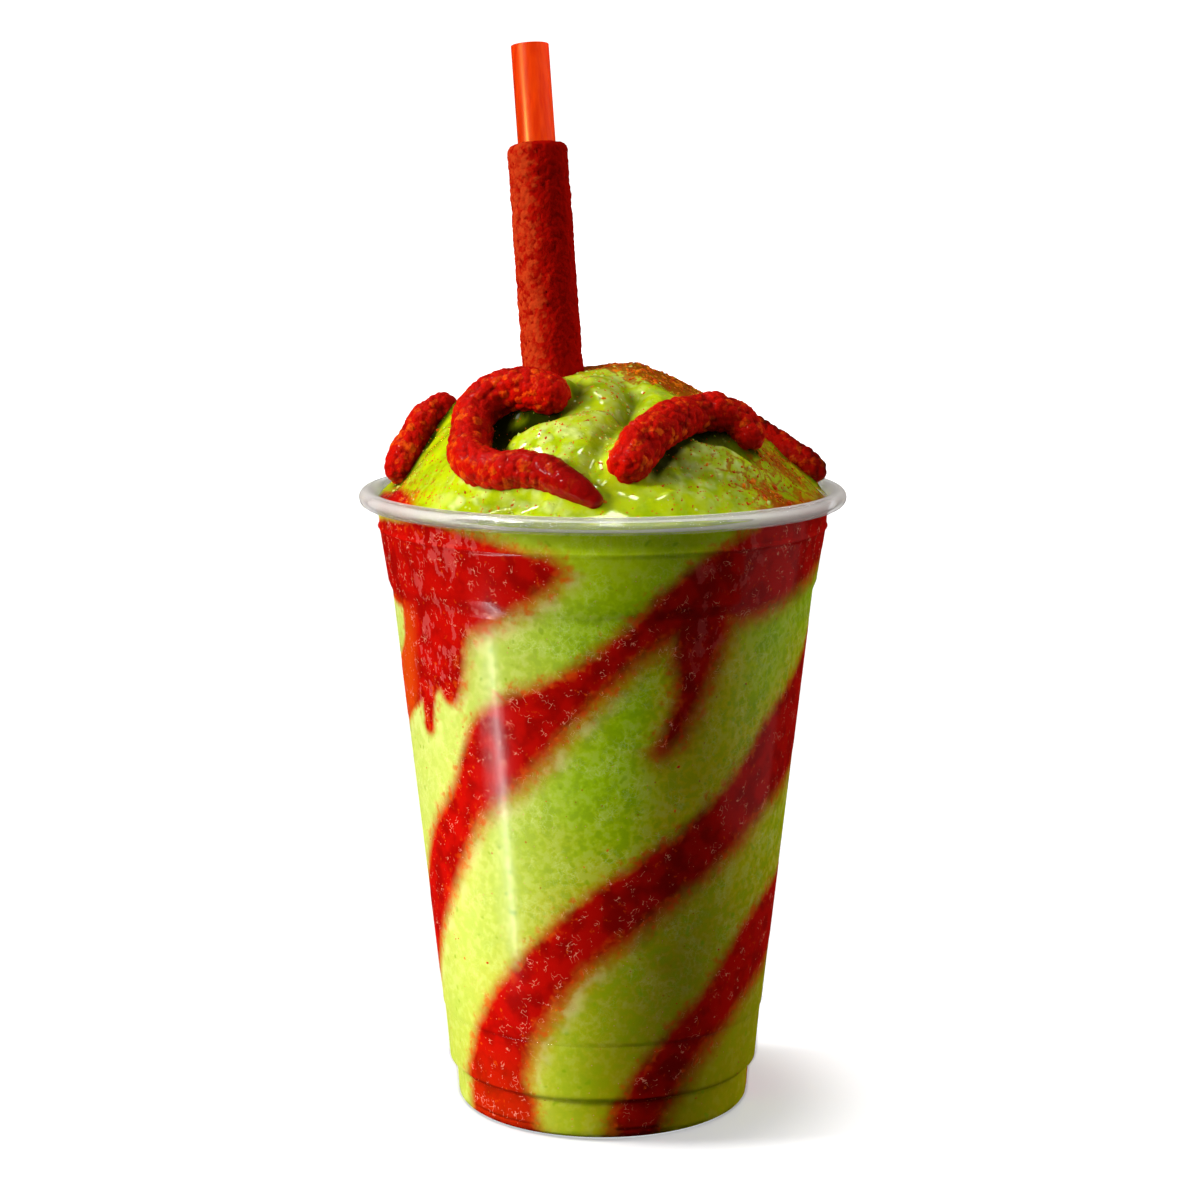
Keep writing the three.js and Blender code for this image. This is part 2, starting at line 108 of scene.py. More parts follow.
# Sauce on the wall: the angle round the cup from the front, the height and the half width.
SAUCE = {
    "sauce_swirl_upper": [
        [(98, 122, 4), (85, 120.4, 5.4), (72, 119, 6.6), (61, 118, 8), (50, 116.8, 8.8),
         (38, 114.3, 8.3), (29, 112.2, 6.8), (21.7, 109.8, 5.3), (15.3, 106.6, 4.3),
         (8.7, 102.9, 3.5), (1.9, 98.6, 3.5), (-4, 94.8, 3.9), (-11, 91.2, 4.7), (-18, 87.8, 5.9),
         (-24.5, 84.3, 7.2), (-31, 80.2, 7.3), (-36.5, 75.5, 6), (-42.4, 70.2, 4.5),
         (-48, 65.2, 4.5), (-56, 58.6, 5.5), (-65, 50.8, 5.8), (-76, 42, 5.8), (-88, 33, 6),
         (-101, 24.5, 5.9), (-114, 16, 5.7), (-128, 7, 5.5)],
        [(27, 107, 6.4), (25.5, 100.3, 4.5), (24.6, 95, 3.4), (22.8, 90, 2.7), (21, 86.4, 2.2),
         (17, 82.3, 1.6)],
    ],
    "sauce_swirl_middle": [
        [(128, 119, 6), (118, 111.5, 7), (109, 104.5, 8), (100, 98, 9), (90, 90.5, 10),
         (80, 84.6, 10.6), (71, 80.6, 10.4), (63, 77.6, 9.4), (54, 73.4, 7.3), (45.7, 68.8, 6.3),
         (36, 63.7, 6), (27, 59.3, 5.6), (18, 55.5, 5.6), (8.5, 51, 5.9), (0, 46.8, 5.9),
         (-7, 43.3, 5.6), (-13, 39.8, 5.2), (-19, 35.6, 5.6), (-26, 30.2, 5.8), (-33, 24.6, 5.9),
         (-38.5, 18.6, 6.8), (-42, 12, 7.8), (-44, 6, 9.2), (-43.5, 0.5, 9.6)],
    ],
    "sauce_swirl_lower": [
        [(197, 114, 6), (188, 107, 6.1), (179, 100.2, 6.3), (169.5, 93, 6.4), (160, 86, 6.5),
         (150, 78.4, 6.5), (140, 71.2, 6.5), (130, 64.4, 6.5), (120, 58, 6.6), (109, 52, 6.8),
         (98, 47, 7.2), (88, 43.4, 7.6), (78, 40.8, 8), (69, 38.8, 8.1), (60.6, 36.3, 7.6),
         (53, 33, 6.5), (46, 28.8, 5.4), (37.5, 24, 5), (29.5, 19.6, 4.9), (22.8, 14.8, 4.8),
         (17, 9.6, 5.1), (13, 4, 5.4)],
    ],
    "sauce_swirl_left": [
        [(95, 4, 6), (109, 12.4, 6), (122, 20.4, 6), (135, 28, 6), (150, 37.2, 6.2),
         (165, 46, 6.4), (180, 54, 6.5), (195, 61.2, 6.5), (210, 67.6, 6.5), (225, 73, 6.5),
         (240, 77.4, 6.4), (255, 81.2, 6.2), (270, 85, 6), (281, 88.2, 5.8), (291, 91.8, 5.9),
         (299, 96, 7.6), (304.5, 101.5, 10.4), (307.5, 108, 12)],
        [(252, 114, 6), (266, 114, 6.8), (280, 114, 7.7), (294, 114, 8.7), (308, 114, 9.6),
         (320, 113.4, 10), (328, 114.3, 8), (334.5, 114.7, 6.4), (340.5, 115.6, 4.5),
         (345, 116.5, 2.9), (347.8, 117.1, 1.7)],
        [(301.5, 98, 4.2), (302, 91.5, 3), (301.4, 87, 2.1), (300.8, 83, 1.6)],
        [(311.5, 99, 6), (313, 93.2, 3.3), (313, 90.6, 2)],
    ],
}

# Gummy worms: stops of x, y, the height of the middle above the slush and the girth, measured
# out from that middle, in millimetres. BARE_FROM is the share of a worm's length from which its
# coating thins out.
WORMS = {
    "worm_left": [
        (-40.4, -3.2, 2.7, 3.4), (-39, -1, 4, 3.5), (-37.1, 1, 3.9, 3.6), (-34.8, 3, 3.4, 3.6),
        (-32.5, 5, 2.1, 3.5),
    ],
    "worm_curl": [
        (-10.4, -17.4, 2, 4.1), (-14.2, -15.6, 2.3, 4.5), (-18.1, -14.3, 3.2, 4.5),
        (-21.8, -14.4, 3.8, 4.4), (-24.5, -16.8, 3.6, 4.3), (-25.6, -20.8, 2.9, 4.3),
        (-25.7, -25.6, 2.6, 4.2), (-23.2, -30, 1.8, 4.1), (-19.1, -33.2, 1.7, 3.9),
        (-14.9, -34.9, 1.8, 3.9), (-10.9, -36.5, 1.6, 3.7), (-7.3, -38.8, 1.4, 3.4),
        (-3.9, -40.7, 1.2, 2.8), (-1.7, -41.7, 0.8, 1.9),
    ],
    "worm_arch": [
        (5.1, -36.5, 2.3, 4.2), (7, -33.4, 2.4, 4.5), (9.7, -30.4, 2.8, 4.3), (13.2, -27, 3, 4.1),
        (17.6, -20.9, 3.2, 3.9), (21.5, -19.2, 3.2, 3.8), (25.1, -18, 3, 3.6),
        (27, -18.2, 2.9, 3.4), (28.4, -19, 2.7, 3.2),
    ],
    "worm_right": [
        (31.5, 9.3, 1.4, 2.9), (34.6, 7.4, 1.3, 3), (37.7, 3.7, 1.5, 3), (40.4, 2.3, 1.8, 2.9),
        (42.4, 1.8, 2.1, 2.8),
    ],
}
BARE_FROM = {"worm_curl": 0.68}

# The straw and its sleeve of candy, in millimetres.
STRAW_FOOT = Vector((0.45, -20.3, 6.5))
STRAW_TOP = Vector((-14.6, 9.9, 215.0))
STRAW_RADIUS = 3.8
STRAW_WALL = 0.4
STRAW_LENGTH = 211.0
SLEEVE_RADIUS = 6.1
SLEEVE_LOW = 112.0
SLEEVE_HIGH = 191.2
SLEEVE_ROUND = 1.6


def srgb(red, green, blue):
    """A colour picker's colour, from 0 to 255, as a linear colour with full alpha."""
    channels = [channel / 255 for channel in (red, green, blue)]
    linear = [c / 12.92 if c <= 0.04045 else ((c + 0.055) / 1.055) ** 2.4 for c in channels]
    return (*linear, 1.0)


def colour_property(name, description, red, green, blue):
    return bpy.props.FloatVectorProperty(
        name=name, description=description, default=srgb(red, green, blue), subtype="COLOR",
        size=4, min=0, max=1,
    )


def length_property(name, description, millimetres):
    return bpy.props.FloatProperty(
        name=name, description=description, default=millimetres * MM, unit="LENGTH", min=0,
    )


def share_property(name, description, share):
    return bpy.props.FloatProperty(
        name=name, description=description, default=share, subtype="FACTOR", min=0, max=1,
    )


class CupSettings(bpy.types.PropertyGroup):
    rim_radius: bpy.props.FloatProperty(
        name="Rim radius", description="Radius of the lip's outside", unit="LENGTH",
        default=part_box("cup")[1].x)
    height: bpy.props.FloatProperty(
        name="Height", description="Height of the lip's top", unit="LENGTH",
        default=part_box("cup")[1].z)
    gloss: share_property("Gloss", "How much the clear wall mirrors", 1.0)
    milkiness: share_property("Milkiness", "How cloudy the rolled lip is", 0.07)
    milk_colour: colour_property("Milk colour", "Colour of the cloudy plastic", 236, 234, 230)


class SlushSettings(bpy.types.PropertyGroup):
    into_wall: length_property("Into the wall", "How far the slush reaches into the wall", 0.15)
    relief: length_property("Relief", "Height of the soft folds of the heap", 0.8)
    green: colour_property("Green", "Main colour of the slush", 176, 212, 5)
    olive: colour_property("Olive", "Colour of the slush that sauce has tinted", 212, 198, 8)
    # Painted shade: darker olive mixed in low down in the middle and right of the cup.
    deep: colour_property("Deep", "Colour of the clearer slush low in the cup", 146, 134, 4)
    # Also painted light: mixed in towards the lit left side of the cup.
    pale: colour_property("Pale", "Colour of the icier slush", 214, 224, 108)
    pit: colour_property("Pits", "Colour of the clear hollows between the ice", 136, 176, 2)
    frost: colour_property("Frost", "Colour of the icy threads", 230, 240, 140)
    top: colour_property("Top", "Colour of the wet heap", 196, 216, 6)
    rust: colour_property("Rust", "Colour of the chilli that has run", 178, 66, 6)
    # Painted shade: near-black colour laid into the heap's folds and hollows and under the worms.
    gap: colour_property("Gaps", "Colour deep in the folds of the heap", 10, 14, 1)


class SauceSettings(bpy.types.PropertyGroup):
    into_wall: length_property("Into the wall", "How far the sauce reaches into the wall", 0.22)
    depth: length_property("Depth", "Thickness of a band in its middle", 2.4)
    red: colour_property("Red", "Main colour of the sauce", 200, 12, 4)
    # Also painted shade across the middle of the wall.
    dark: colour_property("Dark red", "Colour of the thick sauce", 126, 2, 1)
    orange: colour_property("Orange", "Colour of the orange shreds", 226, 78, 8)
    # Painted highlight: colour of the small bright marks that stand for glints on tiny bubbles.
    painted_glint: colour_property("Ticks", "Colour of the small bright curls", 240, 150, 120)
    # Painted reflection: pinkish patches where the side lights would mirror in air pockets between sauce
    # and wall.
    painted_pocket_reflection: colour_property("Pockets", "Colour of the air pockets on the wall", 214, 84, 78)


class WormSettings(bpy.types.PropertyGroup):
    grain: length_property("Grain", "Size of the coating's grains", 1.5)
    relief: length_property("Relief", "Height of the coating's grains", 0.44)
    orange: colour_property("Orange", "Colour of the coating's light grains", 238, 86, 10)
    red: colour_property("Red", "Main colour of the coating", 200, 15, 3)
    # Also painted shade in the hollows between the coating's grains.
    dark: colour_property("Dark red", "Colour of the bare gummy", 146, 5, 4)


class StrawSettings(bpy.types.PropertyGroup):
    orange: colour_property("Orange", "Colour of the straw", 252, 84, 6)
    deep: colour_property("Deep orange", "Colour of the straw's streaks", 238, 60, 4)
    candy: colour_property("Candy", "Main colour of the sleeve", 172, 12, 4)
    # Also painted shade in the hollows between the grains.
    candy_dark_and_shade: colour_property("Dark candy", "Colour of the sleeve's hollows", 106, 5, 2)
    # Painted light: mixed in on the sleeve's lit left side.
    candy_pale_and_lit: colour_property("Light candy", "Colour of the sleeve's dry side", 192, 58, 22)
    grain: length_property("Grain", "Size of the sleeve's grains", 1.0)
    relief: length_property("Relief", "Height of the sleeve's grains", 0.2)


class StageSettings(bpy.types.PropertyGroup):
    key: bpy.props.FloatProperty(
        name="Key light", description="Strength of the light from the left", default=3.9)
    top: bpy.props.FloatProperty(
        name="Top light", description="Strength of the light from above", default=0.3)
    air: bpy.props.FloatProperty(
        name="Room light", description="Strength of the light from all round", default=0.1)
    shine: bpy.props.FloatProperty(
        name="Room shine", description="Brightness of the room in reflections", default=0.012)


class SmoothieSettings(bpy.types.PropertyGroup):
    cup: bpy.props.PointerProperty(type=CupSettings, name="Cup", description="Clear cup")
    slush: bpy.props.PointerProperty(type=SlushSettings, name="Slush", description="Green slush")
    sauce: bpy.props.PointerProperty(type=SauceSettings, name="Sauce", description="Red sauce")
    worm: bpy.props.PointerProperty(type=WormSettings, name="Worms", description="Gummy worms")
    straw: bpy.props.PointerProperty(type=StrawSettings, name="Straw", description="Straw")
    stage: bpy.props.PointerProperty(type=StageSettings, name="Stage", description="Studio")


class Value:
    """A socket of a recipe. Sums on it are written as Python expressions."""

    def __init__(self, recipe, socket):
        self.recipe = recipe
        self.socket = socket

    def sum(self, operation, first, second):
        return self.recipe.node("ShaderNodeMath", {"operation": operation}, {0: first, 1: second})

    def __add__(self, other):
        return self.sum("ADD", self, other)

    def __sub__(self, other):
        return self.sum("SUBTRACT", self, other)

    def __rsub__(self, other):
        return self.sum("SUBTRACT", other, self)

    def __mul__(self, other):
        return self.sum("MULTIPLY", self, other)

    __radd__ = __add__
    __rmul__ = __mul__


class Recipe:
    """The nodes of one finish."""

    def __init__(self, tree):
        self.tree = tree
        self.tree.nodes.clear()

    def node(self, kind, settings=None, inputs=None, output=0):
        made = self.tree.nodes.new(kind)
        for name, value in (settings or {}).items():
            setattr(made, name, value)
        for name, value in (inputs or {}).items():
            if isinstance(value, Value):
                self.tree.links.new(value.socket, made.inputs[name])
            else:
                made.inputs[name].default_value = value
        return Value(self, made.outputs[output])

    def place(self):
        return self.node("ShaderNodeTexCoord", output="Object")

    def attribute(self, name):
        return self.node("ShaderNodeAttribute", {"attribute_name": name}, output="Fac")

    def noise(self, place, size, detail=2.0, roughness=0.5):
        """Cloudy noise from 0 to 1, whose blobs are about size millimetres across."""
        inputs = {"Vector": place, "Scale": 1 / (size * MM), "Detail": detail,
                  "Roughness": roughness}
        return self.node("ShaderNodeTexNoise", None, inputs)

    def cells(self, place, size, feature="F1", output="Distance"):
        """Distance within cells of about size millimetres, in cell widths."""
        inputs = {"Vector": place, "Scale": 1 / (size * MM)}
        return self.node("ShaderNodeTexVoronoi", {"feature": feature}, inputs, output)

    def along(self, axis):
        """The place along one axis in millimetres, 0 for x, 1 for y and 2 for z."""
        return self.node("ShaderNodeSeparateXYZ", None, {0: self.place()}, axis) * (1 / MM)

    def dots(self, spacing, radius, share):
        """1 on round dots of that radius, in that share of cells of that spacing, in millimetres."""
        tone = self.cells(self.place(), spacing, output="Color")
        dot = self.rise(self.cells(self.place(), spacing), radius / spacing, 0.6 * radius / spacing)
        return dot * self.rise(tone, 0.9 - 0.8 * share, 0.92 - 0.8 * share)

    def ridge(self, value, width):
        """1 where a value passes through a half, down to 0 at that width on either side."""
        off = self.node("ShaderNodeMath", {"operation": "ABSOLUTE"}, {0: value - 0.5})
        return self.rise(off, width, 0)

    def rise(self, value, low, high):
        """From 0 at low to 1 at high, with soft ends."""
        inputs = {"Value": value, "From Min": low, "From Max": high}
        return self.node("ShaderNodeMapRange", {"interpolation_type": "SMOOTHSTEP"}, inputs)

    def mix(self, share, first, second):
        """The first colour, turning into the second as the share goes to 1."""
        sockets = {0: share, 6: tuple(first) if not isinstance(first, Value) else first,
                   7: tuple(second) if not isinstance(second, Value) else second}
        return self.node("ShaderNodeMix", {"data_type": "RGBA"}, sockets, 2)

    def scaled(self, place, along):
        """The place with its axes squeezed, for a pattern that is stretched."""
        return self.node("ShaderNodeMapping", None, {"Vector": place, "Scale": along})

    def warped(self, place, size, reach):
        """The place pushed about by soft noise, by up to about reach millimetres."""
        inputs = {"Vector": place, "Scale": 1 / (size * MM), "Detail": 1.0}
        push = self.node("ShaderNodeTexNoise", None, inputs, 1)
        inputs = {0: push, 1: (reach * MM,) * 3, 2: place}
        return self.node("ShaderNodeVectorMath", {"operation": "MULTIPLY_ADD"}, inputs)

    def bump(self, height, distance, normal=None):
        """A bump of that many millimetres for a height of 1."""
        inputs = {"Height": height, "Distance": distance * MM, "Strength": 1.0}
        if normal is not None:
            inputs["Normal"] = normal
        return self.node("ShaderNodeBump", None, inputs)

    def finish(self, shader, kind="ShaderNodeOutputMaterial"):
        output = self.tree.nodes.new(kind)
        self.tree.links.new(shader.socket, output.inputs["Surface"])


def new_material(name):
    material = bpy.data.materials.new(name)
    material.use_nodes = True
    return material, Recipe(material.node_tree)


def deselect_all():
    bpy.ops.object.select_all(action="DESELECT")


def work_on(piece):
    deselect_all()
    bpy.context.view_layer.objects.active = piece
    piece.select_set(True)


def apply_modifier(piece, kind, **settings):
    """Adds a modifier to the piece and applies it."""
    work_on(piece)
    modifier = piece.modifiers.new(kind.title(), kind)
    for name, value in settings.items():
        setattr(modifier, name, value)
    bpy.ops.object.modifier_apply(modifier=modifier.name)


def spun(name, outline, sides):
    """Draws an outline of radii and heights in millimetres and turns it round the cup's axis."""
    deselect_all()
    bpy.ops.mesh.primitive_plane_add(size=MM)
    piece = bpy.context.object
    piece.name = name
    bpy.context.tool_settings.mesh_select_mode = (True, False, False)
    bpy.ops.object.mode_set(mode="EDIT")
    bpy.ops.mesh.merge(type="CENTER")
    bpy.ops.transform.translate(value=(outline[0][0] * MM, 0, outline[0][1] * MM))
    for start, end in zip(outline, outline[1:]):
        step = ((end[0] - start[0]) * MM, 0, (end[1] - start[1]) * MM)
        bpy.ops.mesh.extrude_vertices_move(TRANSFORM_OT_translate={"value": step})
    bpy.ops.object.mode_set(mode="OBJECT")
    apply_modifier(piece, "SCREW", steps=sides, render_steps=sides, use_merge_vertices=True,
                   merge_threshold=MM / 1000)
    bpy.ops.object.mode_set(mode="EDIT")
    bpy.ops.mesh.select_all(action="SELECT")
    bpy.ops.mesh.remove_doubles(threshold=MM / 1000)
    bpy.ops.mesh.normals_make_consistent(inside=False)
    bpy.ops.object.mode_set(mode="OBJECT")
    return piece


def vertices(piece):
    """The places of the piece's vertices as rows of x, y and z in millimetres."""
    places = np.empty(len(piece.data.vertices) * 3)
    piece.data.vertices.foreach_get("co", places)
    return places.reshape(-1, 3) / MM


def move_vertices(piece, places):
    piece.data.vertices.foreach_set("co", (places * MM).ravel())
    piece.data.update()


def vertex_normals(piece):
    normals = np.empty(len(piece.data.vertices) * 3)
    piece.data.vertices.foreach_get("normal", normals)
    return normals.reshape(-1, 3)


def write_attribute(piece, name, values):
    layer = piece.data.attributes.new(name, "FLOAT", "POINT")
    layer.data.foreach_set("value", np.asarray(values, np.float32))


def declare(piece, material, slot, *nodes):
    """Gives a finished piece its finish, shades it smooth, hangs it on the body and hides the solids it
    stands for.
    """
    piece.data.materials.clear()
    piece.data.materials.append(material)
    work_on(piece)
    bpy.ops.object.shade_smooth()
    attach(piece, BODY)
    if nodes:
        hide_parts(*nodes)


def arc(middle, radius, from_degrees, to_degrees, steps):
    angles = np.radians(np.linspace(from_degrees, to_degrees, steps + 1))
    return [(middle[0] + radius * math.cos(a), middle[1] + radius * math.sin(a)) for a in angles]


def rounded(stops, roundings, steps=3):
    """The stops with each inner corner rounded, its curve starting that far from the corner."""
    outline = [stops[0]]
    for before, corner, after, reach in zip(stops, stops[1:], stops[2:], roundings[1:]):
        before, corner, after = (np.array(stop) for stop in (before, corner, after))
        start = corner + (before - corner) / np.linalg.norm(before - corner) * reach
        end = corner + (after - corner) / np.linalg.norm(after - corner) * reach
        for share in np.linspace(0, 1, steps + 1):
            point = (1 - share) ** 2 * start + 2 * share * (1 - share) * corner + share ** 2 * end
            outline.append(tuple(point))
    outline.append(stops[-1])
    return outline


def smooth_route(stops, steps):
    """Points along a centripetal Catmull-Rom curve through the stops."""
    stops = np.array(stops, float)
    padded = np.vstack([2 * stops[0] - stops[1], stops, 2 * stops[-1] - stops[-2]])
    share = np.linspace(0, 1, steps, endpoint=False)[:, None]
    points = []
    for before, start, end, after in zip(padded, padded[1:], padded[2:], padded[3:]):
        first, second, third = (
            np.sum((b - a) ** 2) ** 0.25 for a, b in ((before, start), (start, end), (end, after))
        )
        leave = (start - before) / first - (end - before) / (first + second)
        leave = (leave + (end - start) / second) * second
        reach = (end - start) / second - (after - start) / (second + third)
        reach = (reach + (after - end) / third) * second
        points.append(
            start * (2 * share ** 3 - 3 * share ** 2 + 1) + leave * (share ** 3 - 2 * share ** 2 + share)
            + end * (3 * share ** 2 - 2 * share ** 3) + reach * (share ** 3 - share ** 2)
        )
    return np.vstack([*points, stops[-1:]])


def wall_radius(height):
    """Radius of the cup's outside at a height, in millimetres."""
    return np.interp(height, [z for _, z in OUTER_WALL], [r for r, _ in OUTER_WALL])


def sauce_distance(places, runs):
    """Distance from the runs' edges, negative within them, and the height above their middle."""
    x, y, z = places.T
    angle = np.degrees(np.arctan2(x, -y))
    radius = wall_radius(z)
    nearest = np.full(len(places), 99.0)
    above = np.zeros(len(places))
    for stops in runs:
        for degrees, height, half_width in smooth_route(stops, 7):
            across = np.radians((angle - degrees + 180) % 360 - 180) * radius
            distance = np.hypot(across, z - height) - half_width
            closer = distance < nearest
            nearest[closer] = distance[closer]
            above[closer] = (z - height)[closer] / half_width
    return nearest, above


def smoothstep(value, low, high):
    share = np.clip((value - low) / (high - low), 0, 1)
    return share * share * (3 - 2 * share)


def lobe(x, y, middle_x, middle_y, long, short, turn, height):
    """Height of a soft lobe of slush."""
    angle = math.radians(turn)
    along = (x - middle_x) * math.cos(angle) + (y - middle_y) * math.sin(angle)
    across = (y - middle_y) * math.cos(angle) - (x - middle_x) * math.sin(angle)
    return height * np.exp(-((along / long) ** 2) - (across / short) ** 2)


def distance_to_line(x, y, from_x, from_y, to_x, to_y):
    run_x, run_y = to_x - from_x, to_y - from_y
    share = ((x - from_x) * run_x + (y - from_y) * run_y) / (run_x ** 2 + run_y ** 2)
    held = np.clip(share, 0, 1)
    return np.hypot(x - from_x - held * run_x, y - from_y - held * run_y)


def mound_height(x, y):
    """Height of the heap without its fine relief, in millimetres."""
    away = np.hypot(x, y)
    relief = sum(lobe(x, y, *values) for values in LOBES)
    for *line, width, depth in CREASES:
        relief = relief - depth * np.exp(-((distance_to_line(x, y, *line) / width) ** 2))
    relief = relief * smoothstep(MOUND_RADIUS - away, 0, EDGE_BLEND)
    return MOUND_EDGE + DOME_HEIGHT * (1 - (away / MOUND_RADIUS) ** 2) + relief


def worm_route(name, steps=8):
    """Points along a worm's middle, and the girth at each, in millimetres."""
    stops = WORMS[name]
    places = [
        (x, y, float(mound_height(np.array(x * 1.0), np.array(y * 1.0))) + lift)
        for x, y, lift, _ in stops
    ]
    route = smooth_route(places, steps)
    girths = np.interp(np.arange(len(route)) / steps, np.arange(len(stops)), [s[3] for s in stops])
    return route, girths


def uneven(x, y, scale):
    """Uneven ground from about -1 to 1, in blobs of about that many millimetres."""
    return np.array([noise.noise(Vector((a / scale, b / scale, scale))) for a, b in zip(x, y)])


def fold_depth(x, y):
    """How deep the folds of the heap are, in millimetres."""
    sunk = np.zeros(len(x))
    for width, depth, line in FOLDS:
        off = np.full(len(x), 99.0)
        for start, end in zip(line, line[1:]):
            off = np.minimum(off, distance_to_line(x, y, *start, *end))
        sunk += depth * np.exp(-((off / width) ** 2))
    return sunk


def worm_gap(x, y, z):
    """Distance from the skin of the nearest worm, in millimetres."""
    gap = np.full(len(x), 99.0)
    for name in WORMS:
        for (px, py, pz), girth in zip(*worm_route(name)):
            gap = np.minimum(gap, np.sqrt((x - px) ** 2 + (y - py) ** 2 + (z - pz) ** 2) - girth)
    return gap


def heap_surface(x, y, relief):
    """Height of the heap with its soft folds and the wet edges drawn up round the worms."""
    height = mound_height(x, y) - fold_depth(x, y)
    away = np.hypot(x, y)
    for bump in BUMPS:
        height += lobe(x, y, *bump)
    bend = uneven(x, y, 16) * 5
    folds = uneven((x * 0.9 + y * 0.45 + bend) * 0.45, y * 0.9 - x * 0.45 + bend, 5.5)
    lumps = folds * 1.3 - 0.6 * np.exp(-((folds / 0.08) ** 2)) * smoothstep(uneven(x, y, 9), -0.1, 0.3)
    lumps += uneven(x, y, 3.6) * 0.4 + uneven(x, y, 1.6) * 0.14
    calm = smoothstep(46 - away, 0, 5)
    height += lumps * relief * calm
    gap = worm_gap(x, y, height)
    return height + 0.5 * np.exp(-((gap / 0.6) ** 2)) * (gap > -1)


def wall_grid(inward, low, high, step):
    """The wall's outline in steps of height, shifted inward, in millimetres."""
    count = int(round((high - low) / step))
    heights = sorted(set(np.linspace(low, high, count + 1)) | {z for _, z in OUTER_WALL if low < z < high})
    return [(float(wall_radius(z)) - inward, float(z)) for z in heights]


def cup_outline(rim_radius, height):
    corner = (OUTER_WALL[0][0] - FOOT_CORNER, FOOT_CORNER)
    ring_inner = corner[0] - FOOT_RING_WIDTH
    floor_edge = ring_inner - FLOOR_LIFT
    lip = (rim_radius - LIP_ROLL, height - LIP_ROLL)
    inner_wall = [(r - CUP_WALL, z) for r, z in OUTER_WALL]
    return [
        (0, FLOOR_LIFT), (floor_edge, FLOOR_LIFT), (ring_inner, 0),
        *arc(corner, FOOT_CORNER, -90, 0, 6)[:-1],
        *rounded(OUTER_WALL, WALL_ROUNDING),
        *arc(lip, LIP_ROLL - CUP_WALL, 180, LIP_END, 20),
        *arc(lip, LIP_ROLL, LIP_END, 180, 28),
        *rounded(inner_wall, WALL_ROUNDING)[::-1],
        *arc(corner, FOOT_CORNER - CUP_WALL, 0, -90, 5)[1:],
        (ring_inner + CUP_WALL / 2, CUP_WALL),
        (floor_edge + CUP_WALL / 2, FLOOR_LIFT + CUP_WALL),
        (0, FLOOR_LIFT + CUP_WALL),
    ]


def clear_plastic(settings):
    """Clear plastic that mirrors a little, and turns cloudy in the rolled lip, with painted reflection as
    milkier edges at grazing angles.
    """
    material, recipe = new_material("clear_plastic")
    height = recipe.along(2)
    top = settings.height / MM
    lip = recipe.rise(height, top - 3.6, top - 2.8)
    grazing = recipe.node("ShaderNodeFresnel", None, {"IOR": 1.55})
    # Painted reflection: the rolled lip turns milkier at grazing angles, standing for bright edge
    # reflections; the milkiness share is its real cloudiness.
    cloud_and_edge_sheen = lip * (settings.milkiness + recipe.rise(grazing, 0.05, 0.4) * 0.6)
    facing = recipe.node("ShaderNodeMath", {"operation": "MINIMUM"}, {0: grazing, 1: 0.16})
    clear = recipe.node("ShaderNodeBsdfTransparent", None, {"Color": (1, 1, 1, 1)})
    sheen = recipe.node("ShaderNodeBsdfGlossy", None, {"Color": (1, 1, 1, 1), "Roughness": 0.14})
    skin = recipe.node("ShaderNodeBsdfPrincipled", None, {
        "Base Color": tuple(settings.milk_colour), "Roughness": 0.2})
    through = recipe.node("ShaderNodeBsdfTranslucent", None, {"Color": tuple(settings.milk_colour)})
    milk = recipe.node("ShaderNodeMixShader", None, {0: 0.5, 1: skin, 2: through})
    body = recipe.node("ShaderNodeMixShader", None, {0: cloud_and_edge_sheen, 1: clear, 2: milk})
    recipe.finish(recipe.node("ShaderNodeMixShader", None, {
        0: facing * settings.gloss, 1: body, 2: sheen}))
    return material


